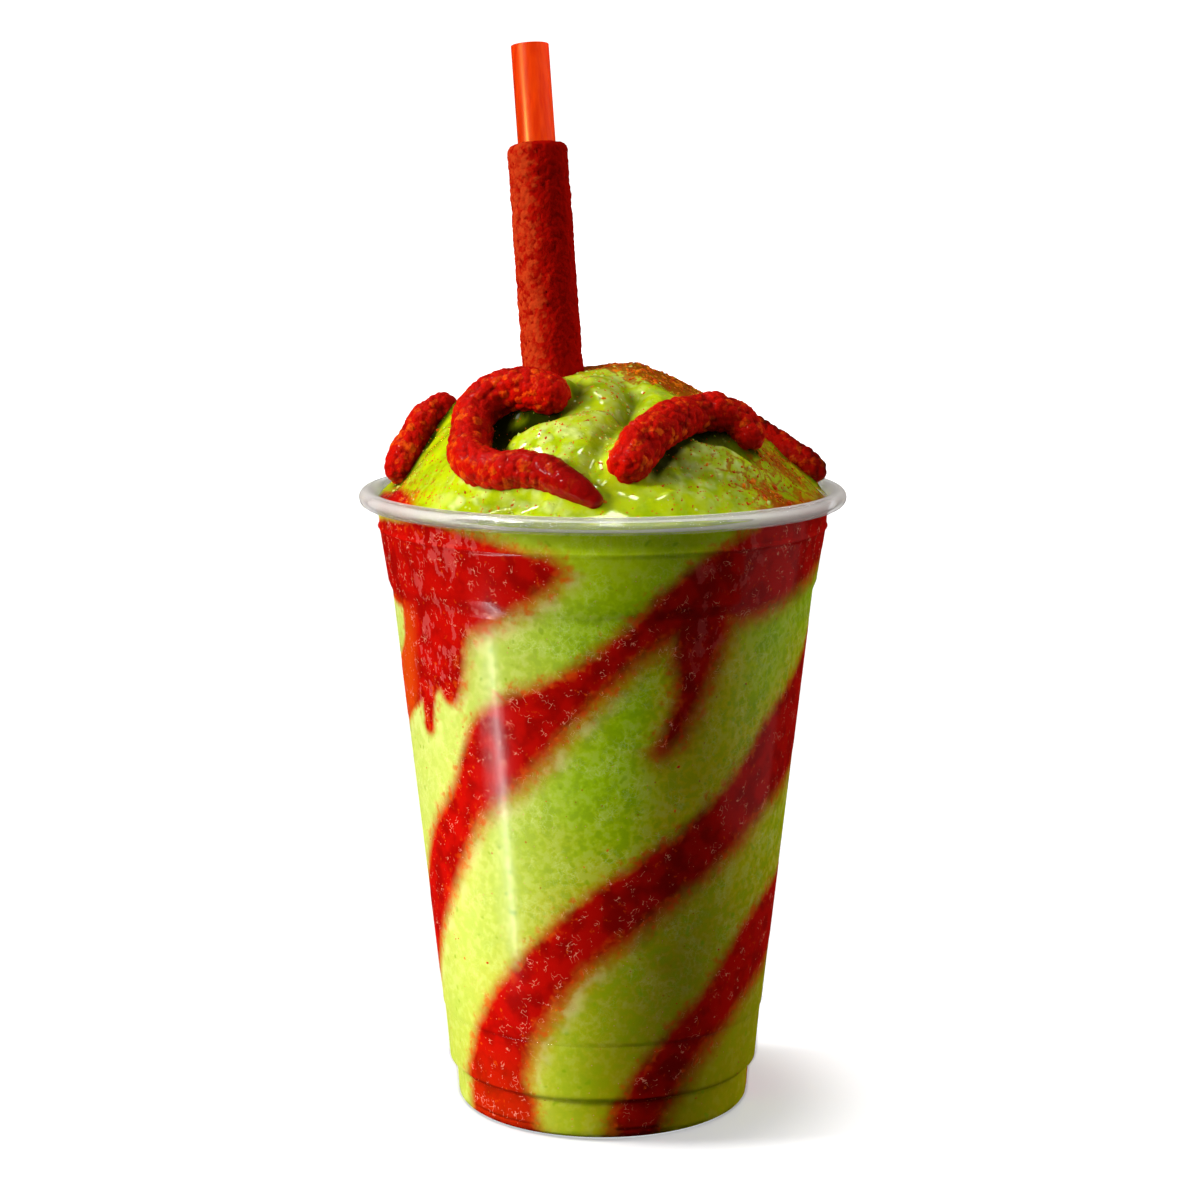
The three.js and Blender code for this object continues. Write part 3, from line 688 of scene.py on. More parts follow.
def slush_colour(recipe, slush, edge):
    """Lime slush in soft paler clouds, with icy threads and a few clear hollows, painted paler on the lit
    left side, darker low in the middle and lighter just under the lip.
    """
    place = recipe.place()
    web = recipe.noise(place, 1.5, 3, 0.55)
    broad = recipe.noise(place, 10, 2)
    near = recipe.rise(edge, 9, 0)
    low = recipe.rise(recipe.along(2), 96, 30)
    right = recipe.rise(recipe.along(0), 4, 18) - recipe.rise(recipe.along(0), 18, 32) * 0.6
    high = recipe.rise(recipe.along(2), 96, 114)
    tint = near * 0.3 + low * 0.4 + right * 0.9 - high * 0.7 + (broad - 0.45) * 0.8
    colour = recipe.mix(recipe.rise(tint, 0.0, 1.0), slush.green, slush.olive)
    # Painted light: towards the lit left side the slush is mixed paler and frostier, with fewer clear
    # pits; the clouds and height add real icy tone.
    left = recipe.rise(recipe.along(0), 2, -30)
    # Painted shade: darker low down in the middle and right of the cup, where the light falls off.
    sunk = recipe.rise(recipe.along(2), 68, 34) * recipe.rise(recipe.along(0), -18, 4)
    colour = recipe.mix(sunk * 0.5, colour, slush.deep)
    clouds = recipe.noise(place, 1.7, 3, 0.5) + (recipe.noise(place, 6, 2) - 0.5) * 0.4
    cells = recipe.cells(recipe.warped(place, 1.8, 1.8), 2.3, "DISTANCE_TO_EDGE")
    patches = recipe.rise(recipe.noise(place, 5, 2), 0.4, 0.62)
    clear = recipe.rise(clouds, 0.56, 0.36) * 0.6 + recipe.rise(cells, 0.04, 0.3) * patches * 0.2
    icy = recipe.rise(recipe.along(2), 10, 56)
    clear = clear * (0.5 + icy * 0.5) * (1 - left * 0.35) * (1 - right * 0.4)
    colour = recipe.mix(clear, colour, slush.pit)
    icier = left * (0.5 + icy * 0.28) + recipe.rise(clouds, 0.48, 0.66) * (0.1 + icy * 0.16 + left * 0.2)
    colour = recipe.mix(icier, colour, slush.pale)
    threads = (recipe.rise(cells, 0.11, 0.0) * 0.6 + recipe.ridge(web, 0.03)) * patches
    colour = recipe.mix(threads * icy * (0.3 + left * 0.25), colour, slush.frost)
    # Painted light: lighter just under the lip, painted over the lip's shadow.
    colour = recipe.mix(recipe.rise(recipe.along(2), 106, 119) * 0.5, colour, slush.top)
    pits = recipe.rise(recipe.noise(place, 2.2, 1, 0.4), 0.68, 0.78)
    return recipe.mix(pits * 0.6, colour, slush.pit)


def sauce_colour(recipe, sauce):
    """Deep red sauce with darker blotches and orange shreds, painted shade across the middle of the wall,
    painted glints, and painted reflections in its air pockets.
    """
    place = recipe.place()
    across = recipe.along(0)
    blotch = recipe.noise(place, 4.5, 2, 0.5)
    # Painted shade: darker from the left towards the middle, lighter again at the right edge, and darker
    # towards the bottom; the blotches are real thicker sauce.
    far = recipe.rise(across, -22, 6) * 0.25 - recipe.rise(across, 14, 26) * 0.3
    low = recipe.rise(recipe.along(2), 24, 0)
    thick = recipe.rise(blotch, 0.4, 0.68) * 0.55 + far + low * 0.2
    colour = recipe.mix(thick, sauce.red, sauce.dark)
    shreds = recipe.noise(place, 1.3, 3, 0.6)
    left = recipe.rise(across, -12, -34)
    ripe = recipe.rise(shreds, 0.62, 0.76) * 0.75 + low * recipe.rise(across, 12, -14) * 0.2
    colour = recipe.mix(ripe, colour, sauce.orange)
    outer = recipe.rise(across, -35.5, -38.5) * recipe.rise(recipe.along(1), 4, -6)
    colour = recipe.mix(outer * recipe.rise(recipe.along(2), 108, 103) * 0.8, colour, sauce.orange)
    # Painted highlight: small bright curly marks standing for glints on tiny bubbles against the wall.
    glint_curls = recipe.ridge(recipe.noise(place, 1.0, 1, 0.4), 0.034)
    patches = recipe.rise(recipe.noise(place, 2.4, 2), 0.56, 0.63)
    colour = recipe.mix(glint_curls * patches * 0.9, colour, sauce.painted_glint)
    # Painted reflection: jagged pinkish patches standing for the side lights mirrored in air pockets,
    # stronger on the left.
    jagged = recipe.noise(recipe.scaled(place, (1, 1, 0.6)), 3.0, 4, 0.62)
    aside = recipe.node("ShaderNodeMath", {"operation": "ABSOLUTE"}, {0: across + 3})
    where = recipe.rise(aside, 17, 22) * recipe.rise(aside, 36, 32) * recipe.rise(recipe.along(2), 74, 88)
    pockets = recipe.rise(jagged + where * 0.1, 0.65, 0.67) * where
    return recipe.mix(pockets * (0.4 + left * 0.2), colour, sauce.painted_pocket_reflection)


def drink_colours(recipe, slush, sauce):
    """Colour of the drink at the wall and on the heap, where the heap is, and its small relief."""
    place = recipe.place()
    edge = recipe.attribute("sauce_edge")
    above = recipe.attribute("above_sauce")
    heap = recipe.attribute("heap")
    under = recipe.rise(above, 0.3, -0.5)

    icy = recipe.noise(place, 5, 2)
    beads = recipe.noise(place, 0.9, 2, 0.5)
    top = recipe.mix(recipe.rise(recipe.noise(place, 3.4, 3), 0.4, 0.7) * 0.55, slush.top, slush.pit)
    granules = recipe.attribute("icy")
    cells = recipe.cells(recipe.warped(place, 2.4, 2.4), 2.2, "SMOOTH_F1")
    top = recipe.mix(granules * recipe.rise(cells, 0.6, 0.1) * 0.95, top, slush.frost)
    top = recipe.mix(recipe.rise(icy * 0.7 + beads * 0.5, 0.62, 0.8) * 0.12, top, slush.frost)
    # Painted shade: towards the gap colour in the heap's folds and hollows and in the worms' shadows.
    top = recipe.mix(recipe.attribute("fold") * 0.96, top, slush.gap)
    green = recipe.mix(heap, slush_colour(recipe, slush, edge), top)
    smear = recipe.noise(place, 1.2, 4, 0.65)
    veins = recipe.ridge(recipe.noise(place, 4, 2), 0.07)
    stain = recipe.attribute("stain")
    crust = recipe.rise(stain, 0.75, 1.0)
    run = stain * (0.52 + veins * 0.6) + crust * 0.16 + (smear - 0.5) * 1.2
    green = recipe.mix(recipe.rise(run, 0.34, 0.66) * (0.7 + crust * 0.2), green, slush.rust)

    ragged = recipe.noise(place, 4.2, 4, 0.62) - 0.5
    streaks = recipe.noise(place, 1.3, 3, 0.6) - 0.5
    calm = 1 - recipe.rise(recipe.along(0), -16, -30) * 0.6
    away = edge + ragged * calm * 3.2 + streaks * (0.8 + under * 0.6) * calm
    fringe = recipe.rise(away, 1.0, 2.4) * recipe.rise(away, 5.5, 2.6) * under
    fringe = fringe * recipe.rise(icy, 0.4, 0.6) * recipe.rise(recipe.along(0), 10, -8)
    green = recipe.mix(fringe * 0.7, green, slush.frost)
    red = sauce_colour(recipe, sauce)
    shreds = recipe.rise(recipe.noise(place, 1.8, 2, 0.5), 0.52, 0.68)
    shreds = shreds * recipe.rise(away, -3.0, -0.5) * recipe.rise(away, 3.4, 1.0)
    spread = away * (1 - under * calm * 0.45) - under * 0.5
    crisp = recipe.rise(recipe.along(0), -24, -34) * recipe.rise(recipe.along(2), 70, 84)
    colour = recipe.mix(recipe.rise(spread * (1 + crisp * 1.6), -1.7, 2.6), red, green)
    colour = recipe.mix(shreds * 0.6, colour, sauce.orange)

    # Painted highlight: small bright dots standing for glints on tiny bubbles.
    colour = recipe.mix(recipe.dots(1.5, 0.15, 0.6) * 0.7, colour, sauce.painted_glint)
    colour = recipe.mix(recipe.dots(3.1, 0.24, 0.4) * 0.6, colour, slush.rust)
    rough = beads * 0.16 + (1 - cells) * granules * 1.6
    return colour, heap, rough


def drink_material(name, settings):
    """Icy slush and sauce, without a shine where they wet the wall and glossy on the heap."""
    material, recipe = new_material(name)
    colour, heap, rough = drink_colours(recipe, settings.slush, settings.sauce)
    ice = recipe.noise(recipe.place(), 2.0, 3, 0.5)
    recipe.finish(recipe.node("ShaderNodeBsdfPrincipled", None, {
        "Base Color": colour,
        "Roughness": 0.5,
        "Specular IOR Level": 0.0,
        # No coat where the shade is painted.
        "Coat Weight": heap * (1 - recipe.attribute("fold")),
        "Coat Roughness": 0.08,
        "Coat IOR": 1.38,
        "Subsurface Weight": 0.15,
        "Subsurface Radius": (1.0, 0.8, 0.25),
        "Subsurface Scale": 1.4 * MM,
        "Normal": recipe.bump((ice * 0.7 + rough) * heap, 0.42),
    }))
    return material


def gummy_material(settings):
    """Chilli coating on red gummy, thinning out to bare gummy."""
    material, recipe = new_material("chilli_gummy")
    place = recipe.place()
    high = recipe.attribute("grain_height")
    tone = recipe.attribute("grain_tone")
    bare = recipe.attribute("bare")
    blotch = recipe.noise(place, 3.4, 3, 0.6)
    grit = recipe.noise(place, 0.6, 3, 0.6)
    light = tone * 0.5 + (blotch - 0.5) * 1.8 + (grit - 0.5) * 1.1
    colour = recipe.mix(recipe.rise(light, 0.15, 0.75), settings.red, settings.orange)
    # Painted shade: darker red in the hollows between the coating's grains.
    colour = recipe.mix(recipe.rise(high, 0.2, -0.4) * 0.6, colour, settings.dark)
    colour = recipe.mix(bare * 0.9, colour, settings.dark)
    recipe.finish(recipe.node("ShaderNodeBsdfPrincipled", None, {
        "Base Color": colour,
        "Roughness": 0.5,
        "Specular IOR Level": 0.05,
        "Coat Weight": 0.16 + bare * 0.5,
        "Coat Roughness": 0.07,
        "Subsurface Weight": 0.12,
        "Subsurface Radius": (1.0, 0.25, 0.1),
        "Subsurface Scale": 1.2 * MM,
        "Normal": recipe.bump(grit * (1 - bare * 0.7), 0.32),
    }))
    return material


def straw_material(settings):
    """Satin plastic with faint streaks drawn along the straw."""
    material, recipe = new_material("orange_plastic")
    place = recipe.place()
    streaks = recipe.noise(recipe.scaled(place, (1, 1, 0.03)), 1.1, 3, 0.6)
    specks = recipe.noise(place, 0.6, 2)
    colour = recipe.mix(recipe.rise(streaks, 0.3, 0.7), settings.orange, settings.deep)
    skin = recipe.node("ShaderNodeBsdfPrincipled", None, {
        "Base Color": colour,
        "Roughness": 0.32 + specks * 0.1,
        "Specular IOR Level": 0.1,
        "Coat Weight": 0.5,
        "Coat Roughness": 0.22,
        "Normal": recipe.bump(streaks, 0.01),
    })
    through = recipe.node("ShaderNodeBsdfTranslucent", None, {"Color": colour})
    recipe.finish(recipe.node("ShaderNodeMixShader", None, {0: 0.5, 1: skin, 2: through}))
    return material


def tamarind_material(settings):
    """Dry, sugary tamarind paste, painted lighter on its lit side and darker in the hollows between its
    grains.
    """
    material, recipe = new_material("tamarind_candy")
    place = recipe.place()
    high = recipe.attribute("grain_height")
    tone = recipe.attribute("grain_tone")
    blotch = recipe.noise(place, 4.5, 3, 0.6)
    grit = recipe.noise(place, 0.6, 3, 0.65)
    colour = recipe.mix(recipe.rise(blotch, 0.42, 0.7) * 0.3, settings.candy, settings.candy_dark_and_shade)
    # Painted shade: darker in the hollows between the sleeve's grains.
    colour = recipe.mix(recipe.rise(high, 0.0, -0.6) * 0.45, colour, settings.candy_dark_and_shade)
    # Painted light: lighter on the sleeve's left and front side, which faces the key light, and a little
    # on the grain tops; the tone and grit add real paler sugar.
    dry = recipe.attribute("dry") * 0.75 + (tone - 0.5) * 0.3 + (grit - 0.5) * 0.9 + high * 0.15
    colour = recipe.mix(recipe.rise(dry, 0.25, 0.85), colour, settings.candy_pale_and_lit)
    recipe.finish(recipe.node("ShaderNodeBsdfPrincipled", None, {
        "Base Color": colour,
        "Roughness": 0.5,
        "Specular IOR Level": 0.0,
        "Normal": recipe.bump(grit, 0.22),
    }))
    return material


def tube(name, points, radii, sides):
    """A round-ended body along points in millimetres, with its own radius at each of them."""
    curve = bpy.data.curves.new(name, "CURVE")
    curve.dimensions = "3D"
    curve.bevel_depth = MM
    curve.bevel_resolution = sides // 4
    curve.use_fill_caps = True
    first = points[0] - points[1]
    last = points[-1] - points[-2]
    first /= np.linalg.norm(first)
    last /= np.linalg.norm(last)
    turns = np.radians([88, 75, 60, 45, 30, 15])
    ahead = [(points[0] + first * radii[0] * math.sin(a), radii[0] * math.cos(a)) for a in turns]
    behind = [(points[-1] + last * radii[-1] * math.sin(a), radii[-1] * math.cos(a)) for a in turns]
    stations = [*ahead, *zip(points, radii), *reversed(behind)]
    spline = curve.splines.new("POLY")
    spline.points.add(len(stations) - 1)
    for station, (place, radius) in zip(spline.points, stations):
        station.co = (*(Vector(place) * MM), 1)
        station.radius = radius
    piece = bpy.data.objects.new(name, curve)
    bpy.context.scene.collection.objects.link(piece)
    work_on(piece)
    bpy.ops.object.convert(target="MESH")
    return bpy.context.object


def add_grains(piece, size, relief, strength):
    """Pushes the surface out into rounded grains, and writes the height and tone of each spot."""
    places = vertices(piece)
    normals = vertex_normals(piece)
    grain = size / MM
    high = np.empty(len(places))
    tone = np.empty(len(places))
    for i, place in enumerate(places):
        lump = noise.noise(Vector(place / (grain * 2.6)))
        middle = Vector(place / grain) + Vector((lump, lump, -lump)) * 0.25
        (near, _, _, _), (seed, _, _, _) = noise.voronoi(middle, distance_metric="DISTANCE")
        small = noise.voronoi(Vector(place / (grain * 0.42)), distance_metric="DISTANCE")[0][0]
        high[i] = 0.7 - near * near * 1.6 + (0.35 - small * small) * 0.35 + lump * 0.9
        tone[i] = noise.cell(seed * 37.0)
    moved = places + normals * (high * strength * relief / MM)[:, None]
    move_vertices(piece, moved)
    write_attribute(piece, "grain_height", high)
    write_attribute(piece, "grain_tone", tone)


def make_worm(name, settings, material):
    route, girths = worm_route(name)
    bare_from = BARE_FROM.get(name, 2)
    piece = tube("chilli_" + name, route, girths - 0.12, 24)
    apply_modifier(piece, "REMESH", mode="VOXEL", voxel_size=0.27 * MM, adaptivity=0)
    places = vertices(piece)
    nearest = np.full(len(places), 1e9)
    along = np.zeros(len(places))
    for point, share in zip(route, np.linspace(0, 1, len(route))):
        distance = np.sum((places - point) ** 2, axis=1)
        closer = distance < nearest
        nearest[closer] = distance[closer]
        along[closer] = share
    bare = smoothstep(along, bare_from - 0.14, bare_from + 0.3)
    wrinkles = np.sin(along * 150) * 0.07 * smoothstep(along, bare_from - 0.1, bare_from) * (bare < 0.75)
    move_vertices(piece, places + vertex_normals(piece) * wrinkles[:, None])
    add_grains(piece, settings.grain, settings.relief, 1 - bare * 0.75)
    write_attribute(piece, "bare", bare)
    declare(piece, material, "chilli_gummy", name)


def along_straw(piece):
    """Stands a piece that was modelled up the z axis in the straw's place."""
    direction = (STRAW_TOP - STRAW_FOOT).normalized()
    work_on(piece)
    piece.rotation_mode = "QUATERNION"
    piece.rotation_quaternion = Vector((0, 0, 1)).rotation_difference(direction)
    piece.location = STRAW_FOOT * MM
    bpy.ops.object.transform_apply(location=True, rotation=True, scale=True)


def scattered(name, spots):
    """Copies of one small uneven crumb, joined: each spot has a place, a normal and a size."""
    deselect_all()
    bpy.ops.mesh.primitive_ico_sphere_add(subdivisions=1, radius=1)
    crumb = bpy.context.object
    corners = np.array([v.co for v in crumb.data.vertices])
    faces = np.array([tuple(f.vertices) for f in crumb.data.polygons])
    bpy.data.objects.remove(crumb)
    draw = np.random.default_rng(len(spots))
    places, polygons = [], []
    for index, (place, normal, size) in enumerate(spots):
        turn = Vector((0, 0, 1)).rotation_difference(Vector(normal)).to_matrix()
        spin = draw.uniform(0, math.tau)
        twist = np.array([[math.cos(spin), -math.sin(spin), 0], [math.sin(spin), math.cos(spin), 0],
                          [0, 0, 1]])
        shape = corners * (1 + draw.uniform(-0.22, 0.22, (len(corners), 1))) * np.array(size)
        places.append((np.array(turn) @ twist @ shape.T).T + np.array(place))
        polygons.append(faces + index * len(corners))
    mesh = bpy.data.meshes.new(name)
    mesh.from_pydata((np.vstack(places) * MM).tolist(), [], np.vstack(polygons).tolist())
    piece = bpy.data.objects.new(name, mesh)
    bpy.context.scene.collection.objects.link(piece)
    return piece


def heap_spots(draw, count, dense, relief):
    """Seeded places on the heap with their normals, kept where a draw falls under dense(x, y)."""
    away = (MOUND_RADIUS - 0.8) * np.sqrt(draw.uniform(0, 1, count))
    angle = draw.uniform(0, math.tau, count)
    x, y = away * np.cos(angle), away * np.sin(angle)
    kept = draw.uniform(0, 1, count) < dense(x, y)
    x, y = x[kept], y[kept]
    step = 0.3
    z = heap_surface(x, y, relief)
    slope_x = (heap_surface(x + step, y, relief) - z) / step
    slope_y = (heap_surface(x, y + step, relief) - z) / step
    normals = np.stack([-slope_x, -slope_y, np.ones_like(z)], axis=1)
    normals /= np.linalg.norm(normals, axis=1)[:, None]
    return np.stack([x, y, z], axis=1), normals


def stain_strength(x, y):
    """Where chilli and sauce have run over the heap, from 0 to 1."""
    spots = [(34, -13, 10, 10, 0.9), (38, 6, 8, 12, 0.7), (8, 5, 13, 8, 1.2), (20, 3, 9, 7, 0.9),
             (-3, 2, 7, 5, 0.9), (26, 22, 14, 10, 0.5), (-20, 24, 12, 8, 0.35),
             (34, -27, 9, 6, 0.7), (-38, -16, 7, 10, 0.42), (9, -4, 9, 6, 0.75),
             (24, -30, 12, 5, 0.4), (-32, -26, 9, 8, 0.3)]
    stain = np.zeros_like(x)
    for middle_x, middle_y, long, short, height in spots:
        stain += height * np.exp(-(((x - middle_x) / long) ** 2) - ((y - middle_y) / short) ** 2)
    return np.clip(stain, 0, 1)


def icy_strength(x, y):
    """Where icy granules show on the heap, from 0 to 1."""
    return np.clip(sum(lobe(x, y, *spot) for spot in ICY), 0, 1)


def puddle_distance(x, y):
    """Distance from the edges of the sauce that shows inside the rim, negative within it."""
    nearest = np.full(len(x), 99.0)
    for degrees, reach, width in ((-70, 12, 3.6), (66, 9, 1.4)):
        along = np.radians(np.degrees(np.arctan2(x, -y)) - degrees) * MOUND_RADIUS
        inside = np.hypot(along / reach, (np.hypot(x, y) - 45.8) / width) - 1
        nearest = np.minimum(nearest, inside * width)
    return nearest


class SmoothieOperator(bpy.types.Operator):
    """What the operators of this file share"""
    bl_idname = "smoothie.base"
    bl_label = "Smoothie piece"
    bl_options = {"REGISTER", "UNDO"}

    def execute(self, context):
        self.make(context.scene.smoothie)
        return {"FINISHED"}


class SMOOTHIE_OT_cup(SmoothieOperator):
    """Makes the clear cup with its rolled lip"""
    bl_idname = "smoothie.cup"
    bl_label = "Cup"

    def make(self, settings):
        cup = settings.cup
        piece = spun("clear_cup", cup_outline(cup.rim_radius / MM, cup.height / MM), 220)
        declare(piece, clear_plastic(cup), "clear_plastic", "cup")


class SMOOTHIE_OT_slush(SmoothieOperator):
    """Makes the slush, pressed against the wall and heaped over the rim"""
    bl_idname = "smoothie.slush"
    bl_label = "Slush"

    def make(self, settings):
        slush = settings.slush
        inward = CUP_WALL - slush.into_wall / MM
        floor = FLOOR_LIFT + CUP_WALL - slush.into_wall / MM
        wall = wall_grid(inward, 2.2, 124.0, 1.3)
        rings = 92
        shares = 1 - np.linspace(0, 1, rings + 1) ** 1.1
        heap = [(45.6 * s, MOUND_EDGE + DOME_HEIGHT * (1 - s ** 2)) for s in shares]
        corner = (OUTER_WALL[0][0] - FOOT_CORNER, FOOT_CORNER)
        ring_inner = corner[0] - FOOT_RING_WIDTH + CUP_WALL / 2
        foot = [(0, floor), (ring_inner - FLOOR_LIFT, floor), (ring_inner, floor - FLOOR_LIFT),
                *arc(corner, FOOT_CORNER - inward, -90, 0, 4)]
        piece = spun("slush", [*foot, *wall, *heap], 400)
        places = vertices(piece)
        on_heap = places[:, 2] > 124.5
        x, y = places[on_heap, 0], places[on_heap, 1]
        places[on_heap, 2] = heap_surface(x, y, slush.relief / MM)
        move_vertices(piece, places)
        edge, above = sauce_distance(places, [run for runs in SAUCE.values() for run in runs])
        edge[on_heap] = puddle_distance(x, y)
        write_attribute(piece, "sauce_edge", edge)
        write_attribute(piece, "above_sauce", above)
        write_attribute(piece, "heap", on_heap)
        write_attribute(piece, "stain", stain_strength(places[:, 0], places[:, 1]) * on_heap)
        # Painted shade for the heap: darker in its folds and hollows and in the shadows that the worms
        # cast to their right.
        fold = smoothstep(fold_depth(places[:, 0], places[:, 1]), 0.9, 2.1) * on_heap
        z = places[on_heap, 2]
        reach = 1.1 + 1.7 * smoothstep(y, -27, -21)
        shaded = smoothstep(worm_gap(x - 1.5, y - 0.5, z + 0.6), reach, -0.3) * smoothstep(y, -39, -33)
        shaded *= 0.4 + 0.6 * smoothstep(np.abs(x + 4), 3, 7)
        hollow_shade = smoothstep(mound_height(x, y) - z, -0.3, 1.0) * 0.36
        fold[on_heap] = np.clip(np.maximum(fold[on_heap], hollow_shade) + shaded, 0, 1)
        write_attribute(piece, "fold", fold)
        write_attribute(piece, "icy", icy_strength(places[:, 0], places[:, 1]) * on_heap)
        declare(piece, drink_material("green_slush", settings), "green_slush", "smoothie")


class SMOOTHIE_OT_sauce(SmoothieOperator):
    """Makes the bands of sauce that run down the inside of the wall"""
    bl_idname = "smoothie.sauce"
    bl_label = "Sauce"

    def make(self, settings):
        sauce = settings.sauce
        all_runs = [run for runs in SAUCE.values() for run in runs]
        material = drink_material("red_sauce", settings)
        inward = CUP_WALL - sauce.into_wall / MM
        whole = spun("sauce_wall", wall_grid(inward, 2.4, 124.0, 0.7), 400)
        for node, runs in SAUCE.items():
            work_on(whole)
            bpy.ops.object.duplicate()
            piece = bpy.context.object
            piece.name = node.replace("swirl", "band")
            self.cut_to_band(piece, runs)
            places = vertices(piece)
            edge, _ = sauce_distance(places, runs)
            sunk = 0.16 * smoothstep(edge, -1.4, 0) / np.hypot(places[:, 0], places[:, 1])
            places[:, :2] *= 1 - sunk[:, None]
            move_vertices(piece, places)
            group = piece.vertex_groups.new(name="depth")
            for index, weight in enumerate(np.clip(0.1 - edge / 4.5, 0.08, 1)):
                group.add([index], float(weight), "REPLACE")
            apply_modifier(piece, "SOLIDIFY", thickness=sauce.depth, offset=-1,
                           vertex_group="depth", use_even_offset=False)
            places = vertices(piece)
            edge, above = sauce_distance(places, all_runs)
            write_attribute(piece, "sauce_edge", edge)
            write_attribute(piece, "above_sauce", above)
            declare(piece, material, "red_sauce", node)
        bpy.data.objects.remove(whole)

    def cut_to_band(self, piece, runs):
        """Keeps what lies in the runs."""
        edge, _ = sauce_distance(vertices(piece), runs)
        work_on(piece)
        bpy.context.tool_settings.mesh_select_mode = (False, False, True)
        corners = np.empty(len(piece.data.loops), np.int32)
        piece.data.loops.foreach_get("vertex_index", corners)
        outside = edge[corners].reshape(-1, 4).min(axis=1) > 0
        piece.data.polygons.foreach_set("select", outside)
        bpy.ops.object.mode_set(mode="EDIT")
        bpy.ops.mesh.delete(type="FACE")
        bpy.ops.object.mode_set(mode="OBJECT")


class SMOOTHIE_OT_worms(SmoothieOperator):
    """Makes the four gummy worms with their chilli coating"""
    bl_idname = "smoothie.worms"
    bl_label = "Gummy worms"

    def make(self, settings):
        material = gummy_material(settings.worm)
        for name in WORMS:
            make_worm(name, settings.worm, material)


class SMOOTHIE_OT_straw(SmoothieOperator):
    """Makes the orange straw"""
    bl_idname = "smoothie.straw"
    bl_label = "Straw"

    def make(self, settings):
        deselect_all()
        bpy.ops.mesh.primitive_cylinder_add(
            vertices=72, radius=STRAW_RADIUS * MM, depth=STRAW_LENGTH * MM, end_fill_type="NOTHING",
            location=(0, 0, STRAW_LENGTH / 2 * MM))
        piece = bpy.context.object
        piece.name = "orange_straw"
        bpy.ops.object.mode_set(mode="EDIT")
        bpy.ops.mesh.subdivide(number_cuts=1)
        bpy.ops.object.mode_set(mode="OBJECT")
        bpy.ops.object.transform_apply(location=True, rotation=True, scale=True)
        apply_modifier(piece, "SOLIDIFY", thickness=STRAW_WALL * MM, offset=-1)
        apply_modifier(piece, "BEVEL", width=0.12 * MM, segments=2, limit_method="ANGLE")
        along_straw(piece)
        declare(piece, straw_material(settings.straw), "orange_plastic", "straw")


class SMOOTHIE_OT_sleeve(SmoothieOperator):
    """Makes the sleeve of tamarind candy round the straw"""
    bl_idname = "smoothie.sleeve"
    bl_label = "Candy sleeve"

    def make(self, settings):
        straw = settings.straw
        bore = STRAW_RADIUS + 0.05
        reach = SLEEVE_RADIUS - straw.relief / MM * 0.5
        low, high = SLEEVE_LOW, SLEEVE_HIGH
        outline = [
            (bore, low), (reach - SLEEVE_ROUND, low),
            *arc((reach - SLEEVE_ROUND, low + SLEEVE_ROUND), SLEEVE_ROUND, -90, 0, 6)[1:],
            *arc((reach - SLEEVE_ROUND, high - SLEEVE_ROUND), SLEEVE_ROUND, 0, 90, 6),
            (bore, high), (bore, low),
        ]
        piece = spun("candy_sleeve", outline, 72)
        apply_modifier(piece, "REMESH", mode="VOXEL", voxel_size=0.3 * MM, adaptivity=0)
        places = vertices(piece)
        outer = smoothstep(np.hypot(places[:, 0], places[:, 1]), bore + 0.1, reach - 0.4)
        # Painted light: the side of the sleeve that faces the key light, left and front.
        dry = smoothstep(-places[:, 0] - places[:, 1] * 0.25, -1.5, 5)
        write_attribute(piece, "dry", dry)
        add_grains(piece, straw.grain, straw.relief, outer)
        along_straw(piece)
        declare(piece, tamarind_material(straw), "tamarind_candy", "tamarind_sleeve")


class SMOOTHIE_OT_flecks(SmoothieOperator):
    """Scatters chilli flecks and small beads of ice over the heap"""
    bl_idname = "smoothie.flecks"
    bl_label = "Flecks and ice"

    def make(self, settings):
        relief = settings.slush.relief / MM
        draw = np.random.default_rng(404)
        places, normals = heap_spots(
            draw, 7600, lambda x, y: 0.3 + 0.7 * stain_strength(x, y) + 0.3 * icy_strength(x, y), relief)
        sizes = draw.lognormal(-1.66, 0.42, len(places))
        sizes *= 1 + smoothstep(stain_strength(places[:, 0], places[:, 1]), 0.6, 1)
        spots = [
            (place, normal, size * np.array([1, 0.62, 0.34]))
            for place, normal, size in zip(places, normals, sizes)
        ]
        for _ in range(190):
            angle, height = draw.uniform(0, math.tau), draw.uniform(4, 122)
            radius = float(wall_radius(height)) - CUP_WALL + settings.slush.into_wall / MM
            outward = np.array([math.sin(angle), -math.cos(angle), 0])
            size = draw.lognormal(-1.75, 0.35) * np.array([1, 0.7, 0.25])
            spots.append((outward * (radius + 0.01) + np.array([0, 0, height]), outward, size))
        material, recipe = new_material("chilli_fleck")
        tone = recipe.noise(recipe.place(), 1.5, 1)
        recipe.finish(recipe.node("ShaderNodeBsdfPrincipled", None, {
            "Base Color": recipe.mix(recipe.rise(tone, 0.4, 0.6), srgb(232, 128, 14), srgb(204, 66, 6)),
            "Roughness": 0.5,
            "Specular IOR Level": 0.05,
        }))
        declare(scattered("chilli_flecks", spots), material, "chilli_gummy")

        places, normals = heap_spots(draw, 2600, lambda x, y: 0.12 + icy_strength(x, y), relief)
        beads = [
            (place - normal * 0.1, normal, size * np.array([1, 0.9, 0.75]))
            for place, normal, size in zip(places, normals, draw.lognormal(-1.45, 0.35, len(places)))
        ]
        material, recipe = new_material("ice_bead")
        tone = recipe.noise(recipe.place(), 6, 1)
        recipe.finish(recipe.node("ShaderNodeBsdfPrincipled", None, {
            "Base Color": recipe.mix(tone, settings.slush.frost, settings.slush.top),
            "Roughness": 0.08,
            "Coat Weight": 0.6,
        }))
        declare(scattered("ice_beads", beads), material, "green_slush")


